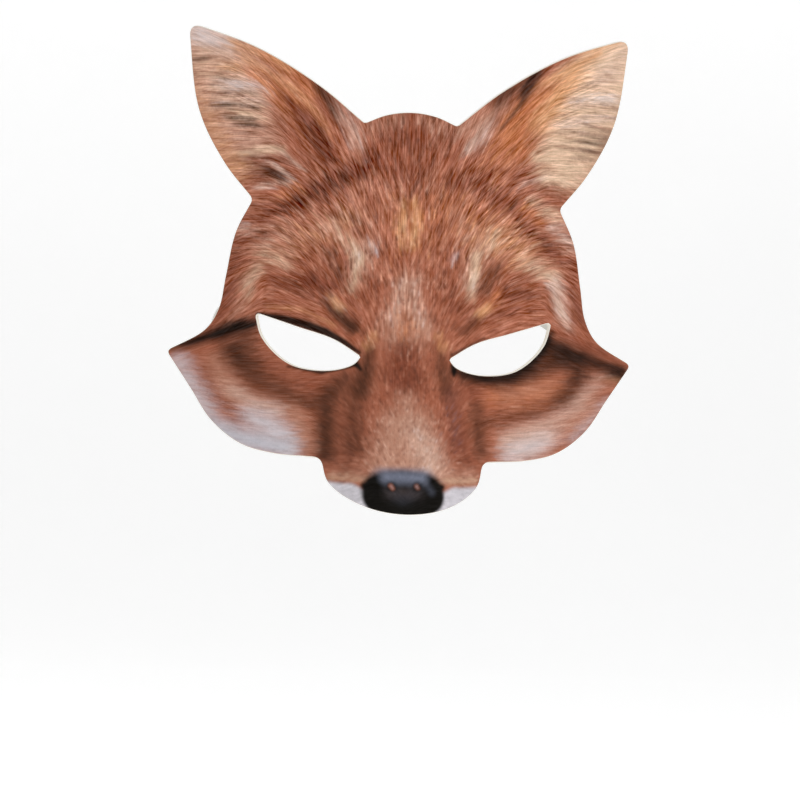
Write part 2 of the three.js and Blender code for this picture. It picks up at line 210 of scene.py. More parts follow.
left, right, both = charter(LEFT), charter(RIGHT), charter(BOTH)
FUR_MARKS = [
    # forehead
    both("coat_light", "tan", 10, 0.06, (0, 58, 12), (28, 50, 16), (40, 38, 8)),
    right("coat_warm", "orange", 10, 0.28, (2, 50, 10), (14, 54, 9), (34, 46, 10)),
    both("crown", "deep", 8, 0.5, (0, 84, 12), (0, 70, 10)),
    both("crown_edge", "tan", 3, 0.4, (15, 83, 2.5), (4, 87, 2)),
    left("crown_patch", "deep", 3, 0.6, (11, 71, 3), (14, 75, 3)),
    right("crown_patch", "deep", 3, 0.5, (13, 77, 2.5), (16, 82, 2)),
    left("arc", "deep", 3, 0.95,
         (50, 51, 2), (44, 54, 2.6), (38, 58, 3), (30, 62, 3.2), (20, 66.5, 3.4), (12, 71, 3)),
    right("arc", "deep", 3, 0.7, (15, 64, 2.6), (23, 66, 3.2), (31, 60.5, 2.6), (41, 55, 2.4)),
    right("arc_end", "deep", 3, 0.95, (42, 49, 2), (47, 46.5, 2.2), (55, 40, 1.6)),
    left("arc_shade", "umber", 3.4, 0.42, (50, 51, 1.6), (38, 58, 2.4), (24, 65, 2.6)),
    left("arc_gold", "orange", 2.4, 0.5, (46, 57.5, 1.4), (40, 61, 1.4)),
    both("middle_line", "gold", 2, 0.7, (2, 57, 0.8), (2.5, 47, 2), (2, 41, 1.2)),
    left("forehead_glow", "gold", 6, 0.25, (24, 47, 3.5), (30, 44, 3), (42, 42, 3)),
    right("forehead_glow", "gold", 6, 0.45, (26, 43, 3.5), (32, 46, 3.5), (42, 40, 4)),
    both("forehead_pink", "tan", 6, 0.22, (20, 50, 5), (30, 46, 5), (42, 42, 5)),
    left("upper_fleck", "cream", 3, 0.3, (27, 48, 1.4), (23.5, 42.5, 1.8)),
    right("upper_fleck", "cream", 3, 0.45, (32, 46, 1.6), (29, 40, 1.6)),
    left("brow_valley", "deep", 3, 0.2, (11, 30, 2.6), (14, 22, 2.6), (19, 19, 2)),
    right("brow_valley", "deep", 3, 0.45, (12, 29, 3), (15, 23, 3), (19, 19, 2)),
    both("between", "tan", 5, 0.7, (0, 27, 4), (0, 16, 5.5), (2, 11, 7.5)),
    both("between_pale", "pale", 2.4, 0.25, (2.5, 27, 1.6), (3, 20, 1.6), (5, 14, 1.6)),
    both("between_warm", "orange", 4, 0.35, (0, 14, 3), (0, 9, 3.4)),
    left("fleck_glow", "tan", 4, 0.7, (14, 40, 2.5), (17, 34, 3), (19, 27, 1.5)),
    right("fleck_glow", "tan", 4, 0.7, (26, 40, 3), (24, 33, 3), (22, 27, 1.5)),
    left("brow_fleck", "cream", 2.4, 0.75, (20, 41, 1), (18, 36, 1.8), (19, 30, 1.2), (20, 24, 0.6)),
    right("brow_fleck", "cream", 2.4, 0.85, (25, 38, 1.2), (24.2, 30, 1.6), (23.6, 23, 0.8)),
    left("fleck_core", "snow", 1.4, 0.2, (18, 37.5, 0.6), (18.4, 33, 0.6)),
    right("fleck_core", "snow", 1.4, 0.25, (24.4, 31, 0.6), (24, 25.5, 0.6)),
    left("lilac_fleck", "snow", 1.8, 0.4, (12.5, 40.5, 0.9), (12, 38.5, 0.9)),
    right("lilac_fleck", "snow", 1.6, 0.45, (17.4, 38, 0.9), (16.4, 36, 0.7)),
    # temples
    left("temple_margin", "deep", 4, 0.75, (62, 37, 2.5), (65, 24, 3.5), (68, 14, 3)),
    left("temple_top", "pale", 2, 0.12, (60, 52, 1.5), (51, 55.5, 1.5)),
    left("temple_edge", "pale", 2.4, 0.4, (62, 46, 1.8), (55, 44.5, 1.4)),
    left("temple_high", "tan", 4, 0.45, (54, 40, 2.6), (47, 46, 3)),
    left("temple_dark", "deep", 2, 0.7, (60, 49, 1), (50, 49, 1.4)),
    left("temple_dark_low", "deep", 2, 0.6, (61, 40, 1.2), (50, 42.5, 1.2)),
    left("temple_patch", "cream", 3, 0.42, (51, 37, 2.6), (45, 34.5, 2.6)),
    left("temple_line", "cream", 2.4, 0.55, (54, 31, 2.2), (57, 26, 2), (57, 21, 1.2)),
    left("temple_low", "tan", 2, 0.5, (58, 19, 1.2), (63, 12, 1)),
    right("temple_top", "cream", 2.4, 0.6, (46, 58, 1.8), (55, 54, 1.8)),
    right("temple_edge", "pale", 2.4, 0.5, (54, 50, 2.2), (61, 43, 2)),
    right("temple_gold", "orange", 2, 0.6, (43, 57, 1.6), (50, 51, 1.6)),
    right("temple_dark", "deep", 2, 0.65, (52, 41, 1.4), (62, 36, 1.8)),
    right("temple_patch", "cream", 3, 0.55, (44, 36, 2), (54, 32, 3)),
    right("temple_line", "pale", 2, 0.8, (55.5, 29, 2.6), (57.5, 20, 2), (61, 13, 1)),
    right("temple_margin", "deep", 2.4, 0.75, (62.5, 31, 2), (63.5, 22, 2), (67, 15, 2)),
    # brows
    left("brow", "umber", 2.5, 0.6, (29, 38, 1.6), (26, 33, 2.8), (24, 28, 2.4)),
    left("brow_out", "deep", 3, 0.95, (27, 25, 2.4), (34, 27, 3), (41, 27.5, 1.8)),
    left("brow_tail", "deep", 3, 0.5, (34, 22, 2.4), (48, 26, 2)),
    left("brow_low", "umber", 2, 0.95, (30, 20, 1.2), (24, 14.5, 1.8), (19.5, 11, 2.8)),
    left("brow_low_core", "soot", 2, 0.22, (25, 15, 1), (19.5, 11, 2.4)),
    left("lid_fleck", "gold", 1.6, 0.55, (27, 21, 1.2), (24, 17.5, 1.4)),
    left("lid_fleck_pale", "pale", 1.6, 0.12, (27, 21, 1), (24, 17.5, 1.2)),
    left("lid_light", "gold", 1.2, 0.35, (50, 17.5, 0.6), (38, 16.5, 0.7), (26, 11, 0.5)),
    right("brow", "umber", 2.5, 0.65, (33, 34, 1.8), (30, 30, 2.4), (28, 25, 1.4)),
    right("brow_out", "deep", 3, 0.75, (36, 25, 2.4), (42, 26, 2.4), (47, 25, 1.8)),
    right("brow_orange", "orange", 2, 0.5, (34, 25, 1.2), (30, 20, 1.4)),
    right("brow_low", "umber", 2, 0.65, (27, 15.4, 1.2), (24, 13, 2), (21, 10, 1.2)),
    right("lid_fleck", "gold", 1.5, 0.8, (30, 19.5, 1.2), (27, 17, 1.4)),
    right("lid_fold", "deep", 1.6, 0.75, (33, 16, 0.8), (42, 19, 1)),
    # nose root and muzzle
    both("nose_root", "deep", 5, 0.75, (0, 1, 6), (0, -7, 7)),
    left("root_side", "umber", 3, 0.95, (13, 3, 1.6), (14, -5, 3), (16, -12, 3)),
    right("root_side", "umber", 3, 0.8, (13, 2, 1.6), (14, -5, 3), (16, -12, 2)),
    both("root_fleck", "gold", 2, 0.4, (14, 4, 1.4), (12, 8, 1.4)),
    both("muzzle_top", "tan", 6, 0.9, (0, -17, 3), (0, -20, 4), (1, -26, 8.4), (1, -38, 13)),
    right("muzzle_shine", "pale", 5, 0.42, (3, -26, 2.5), (7, -32, 5), (9, -38, 5)),
    left("muzzle_dusk", "umber", 4, 0.65, (18, -12, 3), (18.5, -22, 3), (17.5, -32, 3)),
    right("muzzle_dusk", "deep", 4, 0.5, (17, -12, 2.6), (18, -22, 2.6), (19, -30, 2.6)),
    left("muzzle_low_shade", "umber", 3.4, 0.4, (20.5, -29, 3), (20, -40, 2.6)),
    right("muzzle_low_shade", "deep", 3.4, 0.45, (20, -27, 2.6), (22.5, -36, 2.8)),
    right("muzzle_grey", "slate", 4, 0.06, (17, -14, 2.6), (18, -30, 2.6)),
    left("muzzle_side", "umber", 3, 0.95, (28, -14, 2.4), (28, -24, 3.6), (28, -35, 3.6)),
    right("muzzle_side", "umber", 3, 0.75, (27, -17, 2.2), (27.5, -26, 2.8), (29, -33, 2.4)),
    left("muzzle_low", "tan", 3, 0.2, (13, -40.5, 2), (24, -41, 1.6)),
    right("muzzle_low", "tan", 3, 0.55, (12, -40.5, 2.4), (25, -41, 2)),
    both("lip_line", "cream", 2, 0.5, (15, -43.2, 0.8), (26, -43.4, 0.8)),
    # cheek, image-left
    left("under_eye", "deep", 4, 0.3, (32, -11, 5), (50, -4, 5)),
    left("under_inner", "umber", 4, 0.9, (22, -8, 2.4), (25, -12, 3.6), (28, -16, 3)),
    left("outer_eye", "umber", 4, 0.8, (58, 5, 4.5), (58.5, 0, 5.2), (54, -5, 3.5)),
    left("smudge", "umber", 4, 0.85,
         (63, 0, 3), (58.5, -5.5, 4.2), (51, -10.5, 3.6), (42, -14.5, 3), (33, -18, 2.6)),
    left("flap_rust", "rust", 3.4, 0.8,
         (74.5, -1, 1.8), (72, -7, 2.2), (69.5, -13, 2.4), (64, -20, 3.2), (60.5, -24, 2.6)),
    left("flap_rust_deep", "deep", 2.6, 0.55, (73, -4, 1.2), (70, -11, 1.6), (64, -20, 2.2)),
    left("flap_light", "tan", 3, 0.75, (69, -2, 1), (66.5, -8, 2), (62, -14, 2.4)),
    left("cheek_streaks", "pale", 4, 0.7, (62, -13.5, 1), (56, -17.5, 2.2), (46, -21, 2.2)),
    left("cheek_white", "snow", 5.5, 0.95, (55, -23, 2.2), (48.5, -26, 3.4), (43, -29, 3)),
    left("cheek_pink", "tan", 4.5, 0.7, (39.5, -22, 2.2), (36, -28, 2.6), (34.5, -33, 2)),
    left("edge_white", "snow", 4, 0.78, (82.6, -4.8, 1.6), (78, -11, 3.1), (71.5, -22, 3.8)),
    left("bottom_white", "snow", 3.6, 0.95, (69, -27, 2.8), (58, -31.5, 3.4), (41, -34, 3.6)),
    left("edge_tip", "snow", 2.6, 0.6, (81, -2.4, 1.6), (77, -5, 1.4)),
    left("flap_tip", "umber", 2, 0.25, (82, 0.4, 0.8), (75, 1.4, 1.2)),
    # painted shade: slate greys the white along the lower edge of the image-left cheek, where the sheet turns
    # away from the light
    left("bottom_shade", "slate", 4, 0.28, (70, -26, 3), (58, -32, 3), (44, -34, 3)),
    left("smudge_core", "soot", 3.4, 0.45, (67, 5, 2.4), (63, 1.5, 2.6), (59, -3, 1.6)),
    left("stripe", "soot", 2.2, 0.92,
         (54, 11, 1.8), (60, 9.8, 2.8), (66, 7.4, 2.6), (72, 5.2, 2), (79, 2.6, 1.5), (86, 0.6, 0.9)),
    # cheek, image-right
    right("under_eye", "orange", 5, 0.45, (34, -13, 3.4), (44, -13, 3.8), (56, -10, 3.4)),
    right("under_light", "tan", 4, 0.3, (38, -12.5, 2.6), (54, -9, 2.6)),
    right("under_inner", "deep", 4, 0.55, (22, -9, 2.4), (26, -12, 2.6)),
    right("rim_brown", "umber", 2.8, 0.88, (22, -6.4, 1.6), (36, -8, 2.2), (46, -5, 3), (54, 1, 4.6)),
    right("rim_soot", "soot", 2.6, 0.4,
          (22, -6, 1.2), (30, -7.6, 1.6), (38, -7.2, 1.8), (46, -3.6, 2.2), (53, 3, 3)),
    right("outer_eye", "umber", 3.4, 0.85, (52, 2.6, 4), (61, 0.8, 3.6)),
    right("flap_top", "deep", 2, 0.6, (58, 11, 1.6), (68, 6.4, 1.8), (80, 2.6, 1.4)),
    right("smudge", "umber", 3.6, 0.92, (66.5, -1, 2.8), (65, -6.4, 3.2), (60, -13, 2.8)),
    right("smudge_dark", "soot", 3.4, 0.14, (65, -4, 3), (60, -13, 2.4)),
    right("smudge_low", "umber", 3.4, 0.6,
          (58, -15, 2), (50, -18, 2.2), (40, -20.6, 2.2), (31, -22.4, 2)),
    right("smudge_core", "soot", 3.4, 0.8, (58, 2, 2.6), (65, 0, 2.6), (67, -4, 2.2)),
    right("flap_brown", "umber", 2.4, 0.95, (76, -3, 1), (82, -4.6, 3)),
    right("flap_soot", "soot", 3, 0.72, (72, -1, 1), (82, -4, 2.6)),
    right("flap_olive", "gold", 2, 0.2, (77, -5.6, 0.8), (82, -7, 1.2)),
    right("flap_light", "pale", 3, 0.5, (74, -5.6, 0.8), (71, -9.5, 1.8), (66.5, -14.5, 2.2)),
    right("flap_rust", "rust", 3, 0.4, (76.5, -9, 1.6), (70, -17, 2), (63, -24, 2.2)),
    right("flap_pink", "tan", 4, 0.55, (72, -15, 2), (63, -24, 2.6)),
    right("cheek_band", "pale", 3.6, 0.5,
          (66, -15.5, 1.4), (58, -20.5, 2.2), (48, -25, 2.8), (38, -28, 2)),
    right("cheek_white", "pale", 5.5, 0.8, (55, -27, 2.6), (49, -30, 4), (41, -32.5, 3.4)),
    right("cheek_white_core", "snow", 5, 0.6, (53, -28.5, 2), (48, -31, 3), (41, -33.5, 2.6)),
    right("cheek_pink", "tan", 4, 0.12, (35.5, -27, 2), (33, -33.5, 1.6)),
    right("edge_white", "snow", 2, 0.65, (78, -12.6, 0.6), (64, -28.8, 1)),
    right("stripe", "soot", 2.2, 0.74,
          (51, 8, 2.2), (58, 5.8, 2.6), (66, 2.8, 2.4), (74, 0, 2), (83, -1.8, 1.6)),
    # ear, image-left
    left("ear", "tan", 6, 0.85, (72, 108, 17), (60, 80, 13)),
    left("ear_light", "cream", 6, 0.35, (74, 108, 8), (60, 90, 7)),
    left("ear_tip", "pale", 4, 0.75, (79, 116.5, 5), (68, 113, 3.4)),
    left("ear_tip_grey", "snow", 3, 0.45, (78, 117, 3), (70, 114, 2)),
    left("ear_hair", "pale", 2.4, 0.75, (69, 98, 2), (54, 97, 2.4)),
    left("ear_hair_low", "pale", 2, 0.45, (66, 92.5, 1.8), (54, 92, 1.8)),
    left("ear_hair_base", "cream", 2, 0.4, (64, 87.8, 1.4), (53, 87, 1.4)),
    left("ear_hair_white", "snow", 1.6, 0.5, (66, 98.4, 1), (55, 97.6, 1.2)),
    left("ear_warm", "gold", 2, 0.6, (69, 104, 1.6), (64, 105, 1.6)),
    left("ear_margin", "gold", 2.5, 0.4, (79, 96, 2.4), (72, 82, 3.6), (62, 66, 4)),
    left("ear_inside", "rust", 4, 0.4, (52, 90, 2.4), (47, 83, 4), (44, 78, 3)),
    left("ear_foot", "umber", 3, 0.3, (60, 70, 2.4), (54, 65, 3.4)),
    left("ear_band", "orange", 3, 0.8, (58, 102.5, 2.4), (49, 96, 3), (41, 89, 4), (33, 80, 4)),
    left("ear_band_dark", "deep", 2, 0.35, (52, 100, 1.2), (44, 92.5, 1.6)),
    left("ear_rim", "orange", 2, 0.6, (54, 109.5, 1.8), (44, 103.5, 2.4), (36, 96, 2.4)),
    left("ear_rim_tan", "gold", 2, 0.6, (66, 113.5, 1.6), (53, 109, 1.2), (44, 104.5, 1.2)),
    left("ear_gold", "gold", 1.6, 0.3,
         (61, 108, 1.6), (50, 102, 1.6), (42, 96, 1.6), (36, 90.5, 1.6), (31, 84, 1)),
    left("ear_core", "deep", 3, 0.95, (45, 92, 1.4), (39, 86, 3.6), (34, 79, 4.2), (29, 72, 3)),
    left("ear_core_dark", "umber", 3, 0.22, (40, 87, 2), (34, 79, 3.4)),
    left("ear_wedge", "umber", 1.8, 0.95, (34.4, 98, 1.4), (30, 92.6, 2), (27, 86, 1.4)),
    left("ear_inner_fur", "pale", 3, 0.45, (26, 90, 1.2), (22.5, 84, 2), (19, 76, 2)),
    left("ear_tuft", "cream", 1.2, 0.75, (61, 72.5, 1), (54, 74.4, 1.4), (46, 75, 1)),
    left("ear_under_tuft", "deep", 1.6, 0.7, (58, 70.6, 1), (46, 71, 1.4)),
    left("ear_spot", "umber", 2, 0.95, (52, 67.4, 2), (46.5, 65, 2.2)),
    left("ear_strand", "pale", 0.9, 0.7, (49.5, 69.5, 0.6), (42, 63.5, 0.6)),
    left("ear_strand_high", "pale", 0.9, 0.6, (46, 74, 0.6), (40, 68, 0.6)),
    left("ear_strand_low", "pale", 1.2, 0.55, (55, 60.5, 1), (44, 63, 0.8)),
    left("ear_dark_1", "umber", 1, 0.8, (79, 106.8, 0.9), (74, 108.2, 0.7)),
    left("ear_dark_2", "umber", 0.9, 0.8, (71, 101.6, 0.6), (66.5, 103.2, 0.6)),
    left("ear_dark_3", "umber", 0.9, 0.75, (72.5, 98.2, 0.6), (68, 100.2, 0.6)),
    left("ear_dark_4", "umber", 1, 0.7, (72, 94.6, 0.8), (62, 95.8, 0.6)),
    left("ear_dark_5", "soot", 1.1, 0.7, (72, 90.8, 1), (57, 89.8, 0.8)),
    left("ear_dark_6", "soot", 1, 0.75, (67, 86.4, 0.8), (57, 85.2, 0.9)),
    left("ear_dark_7", "soot", 0.9, 0.75, (64, 83.5, 0.7), (56, 83.2, 0.7)),
    left("ear_dark_8", "umber", 0.9, 0.7, (62, 80.5, 0.6), (56, 80.9, 0.6)),
    # ear, image-right
    right("ear", "cream", 6, 0.9, (74, 110, 17), (60, 76, 12)),
    right("ear_tip", "pale", 4, 0.4, (80, 115, 4), (72, 104, 4)),
    right("ear_hair", "snow", 2, 0.35, (76, 97.5, 1.6), (62, 97, 1.8)),
    right("ear_hair_low", "pale", 2.4, 0.5, (74, 91, 2), (58, 88, 2.4)),
    right("ear_gold", "gold", 4, 0.9, (62, 108, 3), (54.5, 98, 4.6), (48, 88, 4)),
    right("ear_gold_warm", "orange", 2.4, 0.15, (57, 103, 1), (53, 97, 2), (48, 90, 2)),
    right("ear_orange", "orange", 4, 0.85, (50, 100, 2), (41, 91, 4), (34, 81, 4.4)),
    right("ear_root", "orange", 4, 0.65, (42, 80, 4), (32, 72, 4)),
    right("ear_root_low", "rust", 4, 0.45, (36, 74, 3), (28, 69, 3)),
    right("ear_strip", "gold", 1.6, 0.7, (70, 114.5, 1.4), (57, 107.5, 1.2), (48, 102, 0.8)),
    right("ear_rim", "rust", 1.6, 0.85, (47, 107, 2), (54, 110.6, 1.8), (62, 113.6, 1.4)),
    right("ear_rim_far", "gold", 1.4, 0.6, (62, 114.4, 1.2), (77, 119.4, 1.2)),
    right("ear_inner_pink", "tan", 2.4, 0.55, (35, 93, 2), (28, 89.6, 2.6), (20, 84, 2.6)),
    right("ear_inner", "umber", 2.4, 0.95, (39, 101.5, 1.8), (35, 97.5, 2.4), (32, 94.6, 2)),
    right("ear_inner_fur", "pale", 3, 0.6, (29, 86, 1.6), (26, 82, 2), (22, 77, 1.8)),
    right("ear_wedge", "soot", 1.1, 0.9,
          (47, 106, 1.8), (45, 104, 2.4), (42.6, 100, 2.2),
          (41.4, 97, 1.6), (40, 93, 0.6), (33, 84.5, 0.35)),
    right("ear_tuft_shade", "orange", 2, 0.5, (43, 77.5, 1.4), (52, 73, 1.4)),
    right("ear_tuft", "cream", 1.6, 0.95, (46, 75.4, 1.2), (54, 74.4, 1.8), (63, 71.5, 1.6)),
    right("ear_low", "cream", 1.6, 0.75, (50, 68, 1.4), (63, 66.4, 1.6)),
    right("ear_base", "umber", 1.8, 0.4, (51, 63.5, 1), (57, 60.4, 1.4)),
    right("ear_strand", "pale", 1, 0.65, (42, 64.5, 0.7), (49, 67.4, 0.7)),
    right("ear_dark_1", "umber", 0.9, 0.8, (72, 95.8, 0.5), (79, 94.4, 0.7)),
    right("ear_dark_2", "umber", 0.9, 0.65, (69, 92.6, 0.5), (78, 90.6, 0.6)),
    right("ear_dark_3", "umber", 0.9, 0.7, (65, 88.2, 0.5), (76, 86.2, 0.8)),
    right("ear_dark_4", "umber", 0.9, 0.7, (63, 85, 0.5), (75, 83.6, 0.7)),
    right("ear_dark_5", "soot", 1, 0.7, (62, 81.8, 0.5), (74, 81.4, 1.1)),
    right("ear_dark_6", "umber", 1, 0.75, (60, 78.6, 0.5), (72, 78.2, 0.9)),
    right("ear_dark_7", "umber", 1, 0.65, (61, 75.6, 0.5), (69, 75.2, 0.8)),
]

# Crisp marks, printed over the hair.
PRINT_MARKS = [
    left("lid", "soot", 0.7, 0.95,
         (53.5, 14.4, 0.5), (45, 13, 1.3), (37, 11.2, 1.6),
         (29, 8.6, 1.5), (22, 5, 1.1), (16.6, 1.4, 0.6)),
    left("lower_rim", "soot", 0.5, 0.85, (42, -4.4, 0.3), (30, -6.2, 0.7), (18, -3, 0.8)),
    left("tear", "soot", 0.7, 0.95, (18, -2.2, 1.2), (16, -4.6, 0.6)),
    left("stripe_core", "soot", 1.8, 0.8, (55, 10.4, 1.4), (62, 9, 1.6), (70, 6, 1.2), (80, 2.4, 0.6)),
    right("inner_line", "soot", 0.6, 0.75, (17, 1.6, 0.6), (29, 8.2, 0.3)),
    right("tear", "soot", 0.7, 0.95, (18, -2.4, 1.5), (18, -5.6, 0.6)),
    right("lower_rim", "soot", 1.8, 0.92,
          (18, -4.2, 1.2), (30, -6.6, 1.6), (40, -5.2, 1.8),
          (46, -1.4, 2), (51.4, 5, 2.2), (54.4, 10.6, 1)),
    right("stripe_core", "soot", 1.8, 0.4, (52, 8, 1.6), (60, 5.2, 1.4), (70, 1.4, 1.2), (82, -2, 0.6)),
    left("lip", "snow", 1, 0.97, (27, -48, 3), (20, -50.5, 5.4), (10, -56, 6)),
    right("lip", "snow", 1, 0.97, (26, -48.2, 2.8), (18, -50.5, 5.2), (8, -56, 6)),
    left("nose_fade", "slate", 2.2, 0.75, (9, -42.4, 3.2), (-6.4, -42.4, 3.2)),
    left("nose", "soot", 1.4, 1, (9.8, -46.8, 6), (1.4, -46.2, 6.6), (-7.2, -46.8, 6)),
    left("nose_corner", "soot", 0.8, 0.95, (14.9, -45.6, 1), (-12.6, -45.2, 1)),
    left("nose_low", "soot", 0.8, 1, (9.5, -49.2, 5.8), (1, -52, 5), (-7.7, -49.2, 5.8)),
    left("nose_body", "slate", 3, 0.15, (5.4, -47, 2.2), (1.2, -49, 2.2), (-3.2, -47, 2.2)),
    left("nose_warm", "gold", 3, 0.03, (6, -47.4, 1.6), (-3.6, -47.4, 1.6)),
    left("nose_fold", "soot", 0.9, 0.55,
         (9.2, -47, 0.5), (6.2, -51, 0.6), (1.4, -53, 0.8), (-3.2, -51, 0.6), (-7, -46.8, 0.5)),
    left("nose_sheen", "slate", 2.2, 0.97, (7.4, -42, 2), (-5, -42, 2)),
    right("nose_flank", "slate", 1.6, 0.3, (6.9, -44, 0.8), (9, -47, 0.8)),
    left("nostril_ring", "soot", 0.9, 0.75, (5.4, -45.4, 1.8)),
    right("nostril_ring", "soot", 0.9, 0.75, (3.6, -45.2, 1.8)),
    left("nostril", "rust", 0.7, 0.7, (5.8, -45, 0.7), (5, -46, 0.6)),
    left("nostril_light", "snow", 0.6, 0.2, (5.6, -45.2, 0.4), (5.1, -45.9, 0.3)),
    right("nostril", "rust", 0.7, 0.5, (3.4, -44.9, 0.7), (3.9, -45.6, 0.6)),
    right("nostril_light", "snow", 0.6, 0.2, (3.4, -45, 0.4), (3.8, -45.5, 0.3)),
]

# What the print covers in the front view, in millimetres, and where the hair grows away from.
X_LOW, X_HIGH, Z_LOW, Z_HIGH = -88.0, 88.0, -60.0, 124.0
NOSE_TIP = (0.0, -42.0)

# Strokes of the fur, broad ones first. reach: share of the hair's length. purity: how far each keeps
# to one ink of its zone. spread: how far they turn off the lie, in radians. tone and tint: how much
# lighter or darker they are, in light and in ink. local: share of the inks that they pass over.
Stroke = namedtuple("Stroke", "at count width reach opacity purity spread tone tint local")
STROKES = [
    Stroke("locks", 9000, 1.7, 1.1, 0.6, 0.4, 0.12, 0.12, 0.24, 0.5),
    Stroke("strands", 26000, 0.8, 0.9, 0.8, 0.6, 0.10, 0.18, 0.38, 0.3),
    Stroke("hairs", 30000, 0.5, 1.0, 0.65, 0.85, 0.08, 0.32, 0.55, 0.1),
]
STROKE_STEPS = 10  # from root to tip
STROKE_LENGTHS = (0.6, 1.3)  # least and most, as shares of the hair's length
INK_STEP = 4  # whose place gives a stroke its ink
ORDER_PLAY = 3.0  # millimetres by which the order of the strokes is mixed
LONG_STROKE = 14  # millimetres that have a sample for every second dot
FEWEST_SAMPLES = 4
BATCH = 400  # strokes painted at once
ROOT_FADE = 0.12  # share of a stroke in which it comes up at its root
TIP_FADE = 2.2  # power with which it fades to its tip
LANE_FADE = 0.62  # share of its width at which it has faded to the side
TAPER = 0.75  # share of its width that it loses at its tip
TIP_LIGHT = 0.34  # by how much its tip is lighter than its root
TIP_MIDDLE = 0.45  # where on it that makes no difference
LIE_BLEND = 6.0  # square millimetres over which the charted lies run together

# The finest strands: their directions, how far apart their noise is taken, and the hair lengths
# between which they come up from the fewest.
STRAND_DIRECTIONS = 8
STRANDS_APART = 7.3
SHORT_HAIR, LONG_HAIR = 2.5, 7.0
FEWEST_STRANDS = 0.25

# Areas of the bake map: the printed face, the back, and the cut edges in rows.
Area = namedtuple("Area", "u v scale")
FRONT_MAP = Area(0.005, 0.005, 0.75 / (Z_HIGH - Z_LOW))
BACK_MAP = Area(0.75, 0.01, 0.235 / (Z_HIGH - Z_LOW))
RimRows = namedtuple("RimRows", "u v per_row eye_row along across row_height")
RIM_MAP = RimRows(0.005, 0.78, 300, 4, 0.0032, 0.0035, 0.028)

# Surfaces: shine, roughness and how much it plays, depth and strength of the relief.
Surface = namedtuple("Surface", "name specular roughness play relief strength", defaults=(0, 0, 0))
FUR_SURFACE = Surface("fur_print", 0.04, 0.72, 0.1, 0.05 * MM, 0.5)
FOAM_SURFACE = Surface("bare_foam", 0.25, 0.75, 0.15, 0.12 * MM, 0.7)
ELASTIC_SURFACE = Surface("woven_elastic", 0.2, 0.8, 0.1, 0.06 * MM, 0.8)
PAPER_SURFACE = Surface("sweep_paper", 0.1, 0.9)

# The studio, in metres: its sweep of paper, whose curve has facets of so many degrees, and its lamps.
Sweep = namedtuple("Sweep", "reach back radius half height facet")
SWEEP = Sweep(reach=7.0, back=1.6, radius=0.6, half=7.0, height=2.4, facet=6)
PAPER_CLOUD = 1 / 3
PAPER_TINT = 0.04
WHITE = (1, 1, 1, 1)
Lamp = namedtuple("Lamp", "at x y z size power")
LAMPS = [
    Lamp("key", 0.85, -1.3, 0.75, 0.9, 9.1),
    Lamp("fill", -0.95, -1.3, 0.45, 1.0, 3.5),
    Lamp("top", 0, 0.1, 1.3, 1.2, 5),
    Lamp("back_left", -1.1, 0.9, 0.7, 0.8, 2),
    Lamp("back_right", 1.1, 0.9, 0.7, 0.8, 0.8),
]


# Shape of the sheet

def section_at(z):
    """Lean, wrap, muzzle and half-width of the muzzle at heights z, on a cubic through the sections."""
    rows = np.array([row[1:] for row in SECTIONS], float)
    knots, values = rows[:, 0], rows[:, 1:]
    last = len(knots) - 1
    high = np.clip(np.searchsorted(knots, z, side="right"), 1, last)
    low = high - 1
    before = np.where(low == 0, high, low - 1)
    after = np.where(high == last, low, np.minimum(high + 1, last))
    span = knots[high] - knots[low]
    pull_low = 0.5 * span / (knots[low] - knots[before])
    pull_high = 0.5 * span / (knots[after] - knots[high])
    t = (z - knots[low]) / span
    weights = (
        (-pull_low * t**3 + 2 * pull_low * t**2 - pull_low * t, before),
        ((1 + pull_low) * t**3 - (1.5 + 2 * pull_low) * t**2 + (pull_low - 0.5) * t + 1, low),
        (-(1 + pull_high) * t**3 + (1.5 + pull_high) * t**2 + 0.5 * t, high),
        (pull_high * t**3 - pull_high * t**2, after),
    )
    return np.moveaxis(sum(weight[..., None] * values[row] for weight, row in weights), -1, 0)


def inner_depth(sheet, x, z):
    """Depth of the sheet's inner face at places of the front view, in millimetres."""
    lean, wrap, muzzle, half = section_at(z)
    bend = sheet.wrap_depth / MM * (np.hypot(1, x * MM / sheet.wrap_half) - 1)
    side = (np.abs(x) / half - sheet.muzzle_flat) / (1 - sheet.muzzle_flat)
    fall = (1 + np.cos(np.pi * np.clip(side, 0, 1))) / 2
    return lean + wrap * bend - np.maximum(muzzle, 0) * fall


def inward_normal(sheet, x, z):
    """Unit normal of the sheet at places of the front view, pointing to the wearer."""
    reach = 0.5
    slope_x = (inner_depth(sheet, x + reach, z) - inner_depth(sheet, x - reach, z)) / (2 * reach)
    slope_z = (inner_depth(sheet, x, z + reach) - inner_depth(sheet, x, z - reach)) / (2 * reach)
    normal = np.stack([-slope_x, np.ones_like(x), -slope_z], -1)
    return normal / np.linalg.norm(normal, axis=-1, keepdims=True)


def on_sheet(sheet, place, depth):
    """Points a depth behind the printed face, for places of the front view in millimetres."""
    x, z = place[:, 0], place[:, 1]
    normal = inward_normal(sheet, x, z)
    wall = sheet.wall / MM
    front = np.stack([x, inner_depth(sheet, x, z) - wall / normal[:, 1], z], -1)
    return front + np.reshape(depth, (-1, 1)) * normal


# Outlines

def run_along(line):
    """Distance along a line to each of its points."""
    return np.concatenate([[0], np.cumsum(np.linalg.norm(np.diff(line, axis=0), axis=1))])


def taken_at(line, run, distances):
    """Points at distances along a line."""
    return np.stack([np.interp(distances, run, column) for column in line.T], 1)


